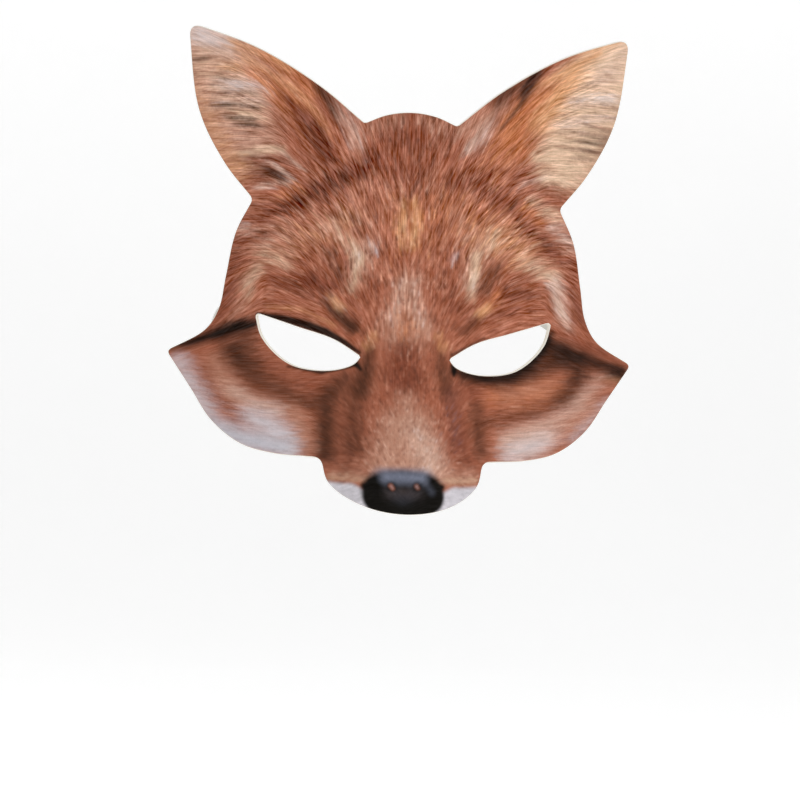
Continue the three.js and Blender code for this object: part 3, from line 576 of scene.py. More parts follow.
def spline(knots, count):
    """Evenly spaced points of a centripetal Catmull-Rom curve through the knots."""
    knots = np.asarray(knots, float)
    ends = [2 * knots[0] - knots[1], *knots, 2 * knots[-1] - knots[-2]]
    t = np.arange(KNOT_STEPS)[:, None] / KNOT_STEPS
    pieces = []
    for a, b, c, d in zip(ends, ends[1:], ends[2:], ends[3:]):
        ab, bc, cd = (math.sqrt(np.linalg.norm(q - p)) for p, q in ((a, b), (b, c), (c, d)))
        start = bc * ((b - a) / ab - (c - a) / (ab + bc) + (c - b) / bc)
        end = bc * ((c - b) / bc - (d - b) / (bc + cd) + (d - c) / cd)
        cubic = 2 * b - 2 * c + start + end
        square = -3 * b + 3 * c - 2 * start - end
        pieces.append(cubic * t**3 + square * t**2 + start * t + b)
    line = np.concatenate([*pieces, knots[-1:]])
    run = run_along(line)
    return taken_at(line, run, np.linspace(0, run[-1], count + 1))


def stretch(rows, step):
    """Points from one corner to the next, with the ends that the corners round off left out."""
    knots = [(row.x, row.z) for row in rows]
    length = run_along(spline(knots, LENGTH_STEPS))[-1]
    points = spline(knots, max(2, round(length / step)))
    first, last = rows[0].corner, rows[-1].corner
    from_first = np.linalg.norm(points - points[0], axis=1)
    from_last = np.linalg.norm(points - points[-1], axis=1)
    kept = np.flatnonzero((from_first > first) & (from_last > last))
    start = points[0] + (points[kept[0]] - points[0]) * first / from_first[kept[0]]
    end = points[-1] + (points[kept[-1]] - points[-1]) * last / from_last[kept[-1]]
    return np.concatenate([[start], points[kept], [end]])


def rounded_loop(rows, step):
    """Closed outline through a loop of rows, smooth between corners and rounded at them."""
    begin = next(i for i, row in enumerate(rows) if row.corner)
    loop = [*rows[begin:], *rows[:begin], rows[begin]]
    corners = [i for i, row in enumerate(loop) if row.corner]
    runs = [stretch(loop[a:b + 1], step) for a, b in zip(corners, corners[1:])]
    points = []
    for i, run in enumerate(runs):
        tip = loop[corners[i + 1]]
        corner = np.array((tip.x, tip.z))
        start, end = run[-1], runs[(i + 1) % len(runs)][0]
        facets = max(3, round(2 * tip.corner / step))
        t = np.arange(facets)[:, None] / facets
        arc = (1 - t) ** 2 * start + 2 * t * (1 - t) * corner + t**2 * end
        points += [run[:-1], arc]
    return evened(np.concatenate(points), step)


def evened(loop, step):
    """The closed loop with its points spaced about a step apart."""
    closed = np.concatenate([loop, loop[:1]])
    run = run_along(closed)
    return taken_at(closed, run, np.linspace(0, run[-1], round(run[-1] / step), endpoint=False))


def cut_loops(step):
    """The outline and the two eye holes, each with the sheet on its left-hand side."""
    other_half = [row._replace(x=-row.x) for row in OUTLINE[-2:0:-1]]
    outline = rounded_loop([*OUTLINE, *other_half], step)[::-1]
    eye = rounded_loop(EYE_HOLE, step)
    return [outline, eye, (eye * (-1, 1))[::-1]]


def outward(loop):
    """Unit vectors out of the sheet at a loop's points, in the front view."""
    along = np.roll(loop, -1, 0) - np.roll(loop, 1, 0)
    normal = np.stack([along[:, 1], -along[:, 0]], 1)
    return normal / np.linalg.norm(normal, axis=1, keepdims=True)


def inside(loops, points):
    """Which points lie on the sheet: inside the outline and outside the holes."""
    crossings = np.zeros(len(points), int)
    for loop in loops:
        for (ax, az), (bx, bz) in zip(loop, np.roll(loop, -1, 0)):
            if az == bz:
                continue
            spans = (az > points[:, 1]) != (bz > points[:, 1])
            reach = ax + (points[:, 1] - az) * (bx - ax) / (bz - az)
            crossings += spans & (points[:, 0] < reach)
    return crossings % 2 == 1


# Meshes

def clear_of(loops, points, gap):
    """Which points are at least a gap away from every point of the loops."""
    spots = np.concatenate(loops)
    tree = kdtree.KDTree(len(spots))
    for i, (x, z) in enumerate(spots):
        tree.insert((x, z, 0), i)
    tree.balance()
    return np.array([tree.find((x, z, 0))[2] >= gap for x, z in points])


def lattice(loops, step):
    """Points of a triangular lattice on the sheet, clear of its loops."""
    low, high = loops[0].min(0), loops[0].max(0)
    rise = step * math.sqrt(3) / 2
    xs = np.arange(low[0], high[0], step)
    zs = np.arange(low[1], high[1], rise)
    x, z = np.meshgrid(xs, zs)
    x = x + (np.arange(len(zs)) % 2)[:, None] * step / 2
    points = np.stack([x.ravel(), z.ravel()], 1)
    points = points[inside(loops, points)]
    return points[clear_of(loops, points, step * LATTICE_GAP)]


def loop_ring(count, first):
    """Vertex numbers round a closed ring, and each one's neighbour."""
    here = first + np.arange(count)
    return here, np.roll(here, -1)


def fill(loops, step):
    """Triangles between loops: their points with a lattice, as places and rows of three."""
    places = np.concatenate([*loops, lattice(loops, step)])
    edges = []
    first = 0
    for loop in loops:
        here, ahead = loop_ring(len(loop), first)
        edges += list(zip(here.tolist(), ahead.tolist()))
        first += len(loop)
    whole_hull, merge_within = 0, 1e-7
    spots = [Vector(p) for p in places]
    kept, _, faces, sources, *_ = geometry.delaunay_2d_cdt(spots, edges, [], whole_hull, merge_within)
    if len(kept) != len(spots):
        raise RuntimeError("the sheet's outline crosses itself")
    source = np.array([old[0] for old in sources])
    triangles = source[np.array(faces)]
    middle = places[triangles].mean(1)
    return places, triangles[inside(loops, middle)]


def sheet_mesh(sheet):
    """The whole sheet: vertices, faces, printed flags, front-view places, corners on the bake map."""
    loops = cut_loops(sheet.edge_step / MM)
    out = [outward(loop) for loop in loops]
    rings = [[loop - rim.inset * away for loop, away in zip(loops, out)] for rim in EDGE_ROUNDING]
    front, front_faces = fill(rings[0], sheet.front_step / MM)
    back, back_faces = fill(rings[-1], sheet.back_step / MM)
    layers = [front, *(np.concatenate(ring) for ring in rings[1:-1]), back]
    depths = [np.full(len(layer), rim.depth) for layer, rim in zip(layers, EDGE_ROUNDING)]
    starts = np.cumsum([0, *(len(layer) for layer in layers[:-1])])
    back_faces = back_faces[:, ::-1] + starts[-1]
    strips, strip_map = rim_strips(loops, starts)
    printed = np.zeros(len(front_faces) + len(strips) + len(back_faces), bool)
    printed[:len(front_faces) + len(strips) * PRINTED_STEPS // (len(EDGE_ROUNDING) - 1)] = True
    place = np.concatenate(layers)
    points = on_sheet(sheet, place, np.concatenate(depths))
    faces = [*front_faces.tolist(), *strips.tolist(), *back_faces.tolist()]
    corners = np.concatenate([
        flat_map(place[front_faces.ravel()], FRONT_MAP),
        strip_map.reshape(-1, 2),
        flat_map(place[back_faces.ravel()], BACK_MAP),
    ])
    return points * MM, faces, printed, place, corners


def flat_map(place, area):
    """Places of the front view on their area of the bake map."""
    return (place - (X_LOW, Z_LOW)) * area.scale + (area.u, area.v)


def rim_strips(loops, starts):
    """Quads of the cut edges, printed steps first, with their corners on the bake map."""
    quads, corners = [], []
    for k in range(len(starts) - 1):
        offset = 0
        for row, loop in enumerate(loops):
            count = len(loop)
            near, near_next = loop_ring(count, starts[k] + offset)
            far, far_next = loop_ring(count, starts[k + 1] + offset)
            quads.append(np.stack([near, far, far_next, near_next], 1))
            corners.append(rim_map(np.arange(count), k, row))
            offset += count
    return np.concatenate(quads), np.concatenate(corners)


def rim_map(at, step, loop):
    """Corners of a ring of quads on the bake map: rows of the outline, then one for each eye hole."""
    line = at // RIM_MAP.per_row + (0 if loop == 0 else RIM_MAP.eye_row + loop)
    u = RIM_MAP.u + (at % RIM_MAP.per_row) * RIM_MAP.along
    v = RIM_MAP.v + line * RIM_MAP.row_height + step * RIM_MAP.across
    ahead, behind = u + RIM_MAP.along, v + RIM_MAP.across
    return np.stack([np.stack(p, 1) for p in ((u, v), (u, behind), (ahead, behind), (ahead, v))], 1)


def add_object(name, data):
    item = bpy.data.objects.new(name, data)
    bpy.context.scene.collection.objects.link(item)
    return item


def add_mesh(name, points, faces, materials):
    """A smooth mesh object."""
    mesh = bpy.data.meshes.new(name)
    mesh.from_pydata(points, [], faces)
    mesh.shade_smooth()
    for material in materials:
        mesh.materials.append(material)
    return add_object(name, mesh)


def new_piece(name, points, faces, materials, node):
    """A smooth mesh object that stands for a CAD node."""
    piece = add_mesh(name, points.tolist(), faces, materials)
    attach(piece, BODY)
    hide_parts(node)
    return piece


def store(mesh, name, values):
    """Keeps one number for each vertex, for the materials to read."""
    attribute = mesh.attributes.new(name, "FLOAT", "POINT")
    attribute.data.foreach_set("value", np.ascontiguousarray(values, np.float32))


# Fur print

def fur_lie(x, z):
    """Direction, length and play of the hair at places on the face, blended between the charted lies."""
    rows = np.array(FUR_LIE, float)
    angle = np.radians(rows[:, 2])
    side = np.where(x < 0, -1.0, 1.0)
    away = (np.abs(x)[..., None] - rows[:, 0]) ** 2 + (z[..., None] - rows[:, 1]) ** 2
    share = 1.0 / (away + LIE_BLEND) ** 2
    share /= share.sum(-1, keepdims=True)
    dx = share @ np.cos(angle)
    dz = share @ np.sin(angle)
    size = np.hypot(dx, dz) + TINY
    return side * dx / size, dz / size, share @ rows[:, 3], share @ rows[:, 4]


def mark_cover(mark, x, z):
    """Share of a mark's ink at places on the face, soft at its edge."""
    out = x * mark.side if mark.side else np.abs(x)
    deepest = np.full(x.shape, -np.inf)
    for (ax, az, near), (bx, bz, far) in zip(mark.path, mark.path[1:] or mark.path):
        dx, dz = bx - ax, bz - az
        along = np.clip(((out - ax) * dx + (z - az) * dz) / (dx * dx + dz * dz + TINY), 0, 1)
        away = np.hypot(out - ax - along * dx, z - az - along * dz)
        deepest = np.maximum(deepest, near + along * (far - near) - away)
    edge = np.clip((deepest + mark.soft) / (2 * mark.soft), 0, 1)
    return mark.strength * edge * edge * (3 - 2 * edge)


def lay_marks(shares, marks, x, z):
    """Prints the marks over the ink shares that are there."""
    for mark in marks:
        cover = mark_cover(mark, x, z)[..., None]
        shares *= 1 - cover
        shares[..., INK_NAMES.index(mark.ink)] += cover[..., 0]


def tinted(share, lift):
    """Ink shares of single hairs, moved to the inks of their lighter or darker hairs."""
    light = np.eye(len(INKS))[[INK_NAMES.index(ink.light) for ink in INKS]]
    dark = np.eye(len(INKS))[[INK_NAMES.index(ink.dark) for ink in INKS]]
    moved = np.where(lift[:, None] > 0, share @ light, share @ dark)
    return share + np.clip(np.abs(lift), 0, 1)[:, None] * (moved - share)


def blurred(raster):
    """The raster with its neighbouring dots run together a little."""
    for axis in (0, 1):
        raster = (np.roll(raster, 1, axis) + 2 * raster + np.roll(raster, -1, axis)) / 4
    return raster


class FurPrint:
    """The whole print as ink shares and hair tone, on a raster of dots from the top left."""

    def __init__(self, fur):
        self.rng = np.random.default_rng(fur.seed)
        self.step = fur.raster / MM
        xs = np.arange(X_LOW, X_HIGH, self.step) + self.step / 2
        zs = np.arange(Z_HIGH, Z_LOW, -self.step) - self.step / 2
        x, z = np.meshgrid(xs, zs)
        self.lie = fur_lie(x, z)
        self.zones = np.zeros(x.shape + (len(INKS),), np.float32)
        self.zones[..., INK_NAMES.index("rust")] = 1
        lay_marks(self.zones, FUR_MARKS, x, z)
        self.dots = np.concatenate([self.zones, np.zeros(x.shape + (1,), np.float32)], -1)
        for stroke in STROKES:
            self.paint(stroke)
        self.dots = blurred(self.dots)
        lay_marks(self.dots[..., :-1], PRINT_MARKS, x, z)

    def dot(self, place):
        """Row and column of the dot at places on the face."""
        rows, columns = self.zones.shape[:2]
        row = np.clip(((Z_HIGH - place[..., 1]) / self.step).astype(int), 0, rows - 1)
        column = np.clip(((place[..., 0] - X_LOW) / self.step).astype(int), 0, columns - 1)
        return row, column

    def roots(self, count):
        """Where strokes begin, farthest from the nose first, so that tips lie over roots."""
        x = self.rng.uniform(X_LOW, X_HIGH, count)
        z = self.rng.uniform(Z_LOW, Z_HIGH, count)
        away = np.hypot(x - NOSE_TIP[0], z - NOSE_TIP[1]) + self.rng.normal(0, ORDER_PLAY, count)
        return np.stack([x, z], 1)[np.argsort(-away)]

    def paths(self, stroke):
        """Points along each stroke, which follows the lie of the hair from its root."""
        lie_x, lie_z, lie_length, _ = self.lie
        path = [self.roots(stroke.count)]
        turn = self.rng.normal(0, stroke.spread, stroke.count)
        curl = self.rng.normal(0, stroke.spread, stroke.count)
        hair = lie_length[self.dot(path[0])]
        length = hair * stroke.reach * self.rng.uniform(*STROKE_LENGTHS, stroke.count)
        for s in range(STROKE_STEPS):
            at = self.dot(path[-1])
            angle = np.arctan2(lie_z[at], lie_x[at]) + turn + curl * (s / STROKE_STEPS - 0.5)
            move = np.stack([np.cos(angle), np.sin(angle)], 1) * (length / STROKE_STEPS)[:, None]
            path.append(path[-1] + move)
        return np.stack(path, 1)

    def inks(self, stroke, path):
        """Ink shares and tone of each stroke: more of one ink of its zone, and lighter or darker."""
        play = self.lie[3][self.dot(path[:, 0])]
        share = self.zones[self.dot(path[:, INK_STEP])]
        pick = (share.cumsum(1) > self.rng.random(stroke.count)[:, None]).argmax(1)
        pure = np.eye(len(INKS), dtype=np.float32)[pick]
        share = share + np.minimum(1, stroke.purity * play)[:, None] * (pure - share)
        lightness = self.rng.normal(0, 1, stroke.count) * play * (share @ [ink.play for ink in INKS])
        return tinted(share, stroke.tint * lightness), stroke.tone * lightness

    def paint(self, stroke):
        """Paints tapered strokes of one width, each over those before it."""
        path = self.paths(stroke)
        share, tone = self.inks(stroke, path)
        samples = max(FEWEST_SAMPLES, int(LONG_STROKE * stroke.reach / self.step / 2))
        t = (np.arange(samples) + 0.5) / samples
        lanes = max(1, round(stroke.width / self.step))
        lane = (np.arange(lanes) - (lanes - 1) / 2) * self.step
        fade = np.minimum(1, t / ROOT_FADE) * (1 - t**TIP_FADE)
        lane_fade = 1 - (np.abs(lane) / (stroke.width * LANE_FADE)) ** 2
        opacity = (stroke.opacity * fade[:, None] * lane_fade)[..., None]
        aside = ((1 - TAPER * t)[:, None] * lane)[..., None]
        low = np.minimum((t * STROKE_STEPS).astype(int), STROKE_STEPS - 1)
        part = (t * STROKE_STEPS - low)[:, None]
        for first in range(0, stroke.count, BATCH):
            rows = slice(first, first + BATCH)
            start, end = path[rows][:, low], path[rows][:, low + 1]
            line = start * (1 - part) + end * part
            along = end - start
            along /= np.linalg.norm(along, axis=-1, keepdims=True) + TINY
            across = np.stack([-along[..., 1], along[..., 0]], -1)
            at = self.dot(line[:, :, None] + across[:, :, None] * aside)
            shade = tone[rows, None] + TIP_LIGHT * (t - TIP_MIDDLE)
            value = np.concatenate([
                share[rows, None, None] * (1 - stroke.local) + self.zones[at] * stroke.local,
                np.broadcast_to(shade[:, :, None, None], at[0].shape + (1,)),
            ], -1)
            self.dots[at] += opacity * (value - self.dots[at])

    def at(self, place):
        """The print's values at places of the front view, between its dots."""
        rows, columns = self.zones.shape[:2]
        row = np.clip((Z_HIGH - place[:, 1]) / self.step - 0.5, 0, rows - 1 - TINY)
        column = np.clip((place[:, 0] - X_LOW) / self.step - 0.5, 0, columns - 1 - TINY)
        i, j = row.astype(int), column.astype(int)
        a, b = (row - i)[:, None], (column - j)[:, None]
        top = self.dots[i, j] * (1 - b) + self.dots[i, j + 1] * b
        low = self.dots[i + 1, j] * (1 - b) + self.dots[i + 1, j + 1] * b
        return top * (1 - a) + low * a


def store_print(mesh, fur, place):
    """Keeps the print on the sheet's vertices: inks, hair tone, lie of the hair and share of strands."""
    values = FurPrint(fur).at(place)
    for i, ink in enumerate(INK_NAMES):
        store(mesh, "ink_" + ink, values[:, i])
    store(mesh, "hair_tone", values[:, -1])
    lie_x, lie_z, hair, hair_play = fur_lie(place[:, 0], place[:, 1])
    store(mesh, "lie_cos", lie_x**2 - lie_z**2)
    store(mesh, "lie_sin", 2 * lie_x * lie_z)
    play = hair_play * (values[:, :-1] @ [ink.play for ink in INKS])
    length = (hair - SHORT_HAIR) / (LONG_HAIR - SHORT_HAIR)
    store(mesh, "strand_share", play * np.clip(length, FEWEST_STRANDS, 1))


# The elastic

def band_line(sheet, band):
    """Middle line of the elastic, glued flap to glued flap."""
    lift = sheet.wall / MM + band.glue_gap / MM + band.thickness / MM / 2
    place = np.array([(row.x, row.z) for row in GLUED], float)
    glued = on_sheet(sheet, place, np.full(len(GLUED), lift))
    half = [*glued, *(np.array(row[1:], float) for row in BAND_ROUTE)]
    other = [point * (-1, 1, 1) for point in half[-2::-1]]
    return spline([*half, *other], band.steps)


def band_section(band):
    """Ribbed section of the elastic, round its two edges: across and through, in millimetres."""
    half = band.width / MM / 2
    across = np.linspace(-1, 1, RIB_FACETS * band.ribs + 1)
    rib = band.rib_height / MM * (np.abs(np.sin(across * band.ribs * np.pi / 2)) - 1)
    face = band.thickness / MM / 2 + rib
    squeeze = np.sqrt(np.clip(1 - np.abs(across) ** EDGE_SQUARENESS, 0, 1))
    top = np.stack([across * half, face * squeeze], 1)
    return np.concatenate([top, (top * (1, -1))[-2:0:-1]])


def band_mesh(sheet, band):
    """The elastic swept along its line, with its width upright, closed at both ends."""
    line = band_line(sheet, band)
    along = np.gradient(line, axis=0)
    along /= np.linalg.norm(along, axis=1, keepdims=True)
    through = np.cross((0, 0, 1), along)
    through /= np.linalg.norm(through, axis=1, keepdims=True)
    upright = np.cross(along, through)
    section = band_section(band)
    points = (
        line[:, None]
        + section[None, :, :1] * upright[:, None]
        + section[None, :, 1:] * through[:, None]
    ).reshape(-1, 3)
    count = len(section)
    faces = []
    for i in range(len(line) - 1):
        here, ahead = loop_ring(count, i * count)
        faces += np.stack([here, ahead, ahead + count, here + count], 1).tolist()
    faces.append(list(range(count))[::-1])
    faces.append(list(range(len(points) - count, len(points))))
    return points * MM, faces, np.repeat(run_along(line), count), np.tile(section[:, 0], len(line))


# Materials

def is_vector(value):
    if isinstance(value, Wire):
        return value.socket.type in {"VECTOR", "RGBA"}
    return isinstance(value, tuple)


class Wire:
    """One socket of a material. Python's operators on it add the nodes that work them out."""

    def __init__(self, finish, socket):
        self.finish = finish
        self.socket = socket

    def worked(self, operation, first, second):
        vectors = [value for value in (first, second) if is_vector(value)]
        kind = "ShaderNodeVectorMath" if vectors else "ShaderNodeMath"
        if operation == "MULTIPLY" and len(vectors) == 1:
            plain = second if vectors[0] is first else first
            return self.finish.node(kind, {"operation": "SCALE"}, {0: vectors[0], "Scale": plain})
        return self.finish.node(kind, {"operation": operation}, {0: first, 1: second})

    def __add__(self, other):
        return self.worked("ADD", self, other)

    def __radd__(self, other):
        return self.worked("ADD", other, self)

    def __sub__(self, other):
        return self.worked("SUBTRACT", self, other)

    def __rsub__(self, other):
        return self.worked("SUBTRACT", other, self)

    def __mul__(self, other):
        return self.worked("MULTIPLY", self, other)

    def __rmul__(self, other):
        return self.worked("MULTIPLY", other, self)

    def __pow__(self, other):
        return self.worked("POWER", self, other)

    def __rpow__(self, other):
        return self.worked("POWER", other, self)


class Finish:
    """A material in the making: its nodes, and the shader that they feed."""

    def __init__(self, surface):
        self.surface = surface
        self.material = bpy.data.materials.new(surface.name)
        self.material.use_nodes = True
        self.tree = self.material.node_tree
        self.shader = self.tree.nodes["Principled BSDF"]
        self.set(Specular_IOR_Level=surface.specular, Roughness=surface.roughness)

    def node(self, kind, settings=None, sockets=None, out=0):
        """Adds a node: its settings first, then the values or wires of its sockets."""
        node = self.tree.nodes.new(kind)
        for name, value in (settings or {}).items():
            setattr(node, name, value)
        for name, value in (sockets or {}).items():
            self.feed(node.inputs[name], value)
        return Wire(self, node.outputs[out])

    def feed(self, socket, value):
        if isinstance(value, Wire):
            self.tree.links.new(value.socket, socket)
        else:
            socket.default_value = value

    def set(self, **sockets):
        for name, value in sockets.items():
            self.feed(self.shader.inputs[name.replace("_", " ")], value)

    def stored(self, name):
        """A number kept on the vertices."""
        return self.node("ShaderNodeAttribute", {"attribute_name": name}, out="Fac")

    def noise(self, place, size, detail=2.0, roughness=0.5):
        sockets = {"Vector": place, "Scale": 1 / size, "Detail": detail, "Roughness": roughness}
        return self.node("ShaderNodeTexNoise", {}, sockets, out="Fac")

    def sine(self, value, pitch):
        return self.node("ShaderNodeMath", {"operation": "SINE"}, {0: value * (2 * math.pi / pitch)})

    def place(self):
        return self.node("ShaderNodeTexCoord", out="Object")

    def done(self, colour, play, height):
        """The finished material: its colour, where it is rougher, and the height of its relief."""
        relief = {"Height": height, "Distance": self.surface.relief, "Strength": self.surface.strength}
        self.set(
            Base_Color=colour,
            Roughness=self.surface.roughness + self.surface.play * play,
            Normal=self.node("ShaderNodeBump", {}, relief, out="Normal"),
        )
        return self.material


def summed(parts):
    first, *others = parts
    return sum(others, first)


def fur_print_material(inks, fur):
    """Matt fur print: shares of the inks, each hair's tone, fine strands and the foam's grain."""
    finish = Finish(FUR_SURFACE)
    colour = summed([finish.stored("ink_" + ink) * tuple(getattr(inks, ink)) for ink in INK_NAMES])
    place = finish.place()
    grain = finish.noise(place, fur.grain_size, detail=3.0, roughness=0.6) - 0.5
    blotch = finish.noise(place, fur.blotch_size) - 0.5
    strands = fine_strands(finish, place, fur) * finish.stored("strand_share")
    light = math.e ** (
        finish.stored("hair_tone") * fur.tone_strength
        + strands * fur.strand_strength
        + grain * fur.grain_strength
        + blotch * fur.blotch_strength
    )
    pores = finish.noise(place, fur.pore_size)
    return finish.done(colour * light + strands * fur.strand_tip, grain, pores)


def fine_strands(finish, place, fur):
    """Strands along the hair: noise drawn out in a few directions, each where the hair lies that way."""
    lie_cos, lie_sin = finish.stored("lie_cos"), finish.stored("lie_sin")
    spacing = math.cos(2 * math.pi / STRAND_DIRECTIONS)
    size = (fur.strand_length, 1.0, fur.strand_width)
    parts = []
    for k in range(STRAND_DIRECTIONS):
        angle = math.pi * k / STRAND_DIRECTIONS
        apart = (0, STRANDS_APART * k, 0)
        drawn_out = finish.node(
            "ShaderNodeMapping",
            {"vector_type": "TEXTURE"},
            {"Vector": place, "Location": apart, "Rotation": (0, -angle, 0), "Scale": size},
        )
        likeness = lie_cos * math.cos(2 * angle) + lie_sin * math.sin(2 * angle)
        shown = finish.node(
            "ShaderNodeMath",
            {"operation": "MULTIPLY_ADD", "use_clamp": True},
            {0: likeness, 1: 1 / (1 - spacing), 2: -spacing / (1 - spacing)},
        )
        parts.append((finish.noise(drawn_out, 1.0, detail=1.5, roughness=0.6) - 0.5) * shown)
    return summed(parts)


def bare_foam_material(foam):
    """Pale foam with fine open cells, on the cut edges and the back."""
    finish = Finish(FOAM_SURFACE)
    place = finish.place()
    sockets = {"Vector": place, "Scale": 1 / foam.cell_size}
    cells = finish.node("ShaderNodeTexVoronoi", {}, sockets, out="Distance")
    cloud = finish.noise(place, foam.cloud_size, detail=3.0)
    speck = finish.noise(place, foam.speck_size)
    light = foam.shade + foam.cloud_strength * cloud + foam.speck_strength * speck
    return finish.done(tuple(foam.colour) * light, speck, cells)


def elastic_material(band):
    """Woven elastic: fine upright weft over the ribs of its length."""
    finish = Finish(ELASTIC_SURFACE)
    weft = finish.sine(finish.stored("band_run"), band.weft_pitch / MM)
    warp = finish.sine(finish.stored("band_across"), band.warp_pitch / MM)
    weave = weft * warp
    fuzz = finish.noise(finish.place(), band.fuzz_size, detail=3.0)
    light = band.shade + band.weave_strength * weave + band.fuzz_strength * fuzz
    return finish.done(tuple(band.colour) * light, fuzz, weave + fuzz)


# Settings

def length(name, description, millimetres):
    return FloatProperty(
        name=name, description=description, default=millimetres * MM, unit="LENGTH", precision=5)


def share(name, description, default):
    return FloatProperty(name=name, description=description, default=default, subtype="FACTOR")


def angle(name, description, degrees):
    return FloatProperty(name=name, description=description, default=math.radians(degrees), subtype="ANGLE")


def colour(name, description, default):
    return FloatVectorProperty(
        name=name, description=description, default=default, size=3, min=0, max=1, subtype="COLOR")


class FoxMaskSheet(PropertyGroup):
    """Sizes of the foam sheet."""

    wall: length("Wall", "Thickness of the foam sheet", 2)
    wrap_depth: length("Wrap Depth", "How hard the sheet bends back round the head", 26)
    wrap_half: length("Wrap Half-width", "Half-width of the flatter middle of the sheet", 40)
    muzzle_flat: share("Muzzle Flat", "Share of the muzzle's half-width that is flat on top", 0.15)
    front_step: length("Front Step", "Mesh step of the printed face", 0.5)
    back_step: length("Back Step", "Mesh step of the bare back", 2.4)
    edge_step: length("Edge Step", "Mesh step along the cut edges", 0.8)


class FoxMaskFur(PropertyGroup):
    """How the fur of the print is drawn."""

    seed: IntProperty(name="Seed", description="Start of the random draws", default=7)
    raster: length("Raster", "Dot pitch of the print", 0.25)
    strand_length: length("Strand Length", "Length of the finest strands", 7)
    strand_width: length("Strand Width", "Width of the finest strands", 0.5)
    strand_strength: share("Strands", "How much the finest strands differ in lightness", 1.4)
    strand_tip: share("Strand Tips", "White in the light strands, lacking in the dark ones", 0.16)
    tone_strength: share("Tone", "How much single hairs differ in lightness", 1.0)
    grain_size: length("Grain Size", "Size of the print's fine grain", 0.5)
    grain_strength: share("Grain", "Fine grain of the print", 0.25)
    blotch_size: length("Blotch Size", "Size of the slow changes of lightness", 9)
    blotch_strength: share("Blotches", "Slow change of lightness over the print", 0.2)
    pore_size: length("Pore Size", "Size of the foam's pores under the print", 0.35)


class FoxMaskInks(PropertyGroup):
    """Colours of the print."""

    rust: colour("Rust", "Main fur", (0.361, 0.114, 0.063))
    deep: colour("Deep", "Dark red-brown fur", (0.162, 0.042, 0.023))
    orange: colour("Orange", "Bright fur of the ears", (0.515, 0.162, 0.065))
    gold: colour("Gold", "Light tips", (0.687, 0.337, 0.156))
    tan: colour("Tan", "Muzzle and ear skin", (0.503, 0.262, 0.181))
    cream: colour("Cream", "Ear hair", (0.730, 0.515, 0.352))
    pale: colour("Pale", "Pale flecks", (0.730, 0.515, 0.413))
    snow: colour("Snow", "White cheeks and lips", (0.617, 0.591, 0.631))
    umber: colour("Umber", "Brown shadows", (0.093, 0.034, 0.019))
    soot: colour("Soot", "Lids, stripes and nose", (0.007, 0.006, 0.005))
    slate: colour("Slate", "Bluish grey of the nose", (0.162, 0.175, 0.231))


class FoxMaskFoam(PropertyGroup):
    """Look of the bare foam."""

    colour: colour("Colour", "Bare foam at the cut edges and on the back", (0.80, 0.76, 0.68))
    shade: share("Shade", "Lightness of the foam between its clouds", 0.9)
    cell_size: length("Cell Size", "Size of the open cells", 0.7)
    cloud_size: length("Cloud Size", "Size of the slow changes of lightness", 14)
    cloud_strength: share("Clouds", "Slow change of lightness over the foam", 0.12)
    speck_size: length("Speck Size", "Size of the light specks", 0.9)
    speck_strength: share("Specks", "How much the specks differ in lightness", 0.06)


class FoxMaskBand(PropertyGroup):
    """Sizes and look of the elastic."""

    width: length("Width", "Width of the elastic", 6)
    thickness: length("Thickness", "Thickness of the elastic", 1)
    glue_gap: length("Glue", "Room for glue between the sheet and the elastic", 0.3)
    rib_height: length("Rib Height", "Depth of the grooves between the ribs", 0.16)
    ribs: IntProperty(name="Ribs", description="Ribs across the elastic", default=8, min=1)
    steps: IntProperty(name="Steps", description="Mesh steps along the elastic", default=420, min=8)
    colour: colour("Colour", "Elastic yarn", (0.79, 0.77, 0.71))
    shade: share("Shade", "Lightness of the yarn between its fuzz", 0.88)
    weft_pitch: length("Weft Pitch", "Pitch of the weave along the elastic", 0.55)
    warp_pitch: length("Warp Pitch", "Pitch of the weave across the elastic", 0.45)
    weave_strength: share("Weave", "How much the weave differs in lightness", 0.08)
    fuzz_size: length("Fuzz Size", "Size of the yarn's fuzz", 0.4)
    fuzz_strength: share("Fuzz", "How much the fuzz differs in lightness", 0.12)


class FoxMaskStage(PropertyGroup):
    """Camera, floor and light."""

    azimuth: angle("Azimuth", "Turn of the camera round the mask", -3.6)
    elevation: angle("Elevation", "Height angle of the camera", 1.0)
    roll: angle("Roll", "Tilt of the camera", 1.9)
    distance: length("Distance", "Camera to target", 1500)
    view_width: length("View Width", "Width of the picture at the target", 289.6)
    target: FloatVectorProperty(
        name="Target",
        description="Where the camera looks",
        default=(-1.3 * MM, 0, -15.2 * MM),
        subtype="XYZ",
    )
    floor_drop: length("Floor Drop", "Floor below the nose root", 250)
    floor_colour: colour("Floor Colour", "Floor and backdrop", (0.95, 0.95, 0.95))
    floor_glow: share("Floor Glow", "White light that the floor and backdrop give off", 0.3)
    ambient: share("Ambient", "Light from all round", 0.39)


class FoxMaskSettings(PropertyGroup):
    """All settings of the mask."""

    sheet: PointerProperty(type=FoxMaskSheet)
    fur: PointerProperty(type=FoxMaskFur)
    inks: PointerProperty(type=FoxMaskInks)
    foam: PointerProperty(type=FoxMaskFoam)
    band: PointerProperty(type=FoxMaskBand)
    stage: PointerProperty(type=FoxMaskStage)


# Stage

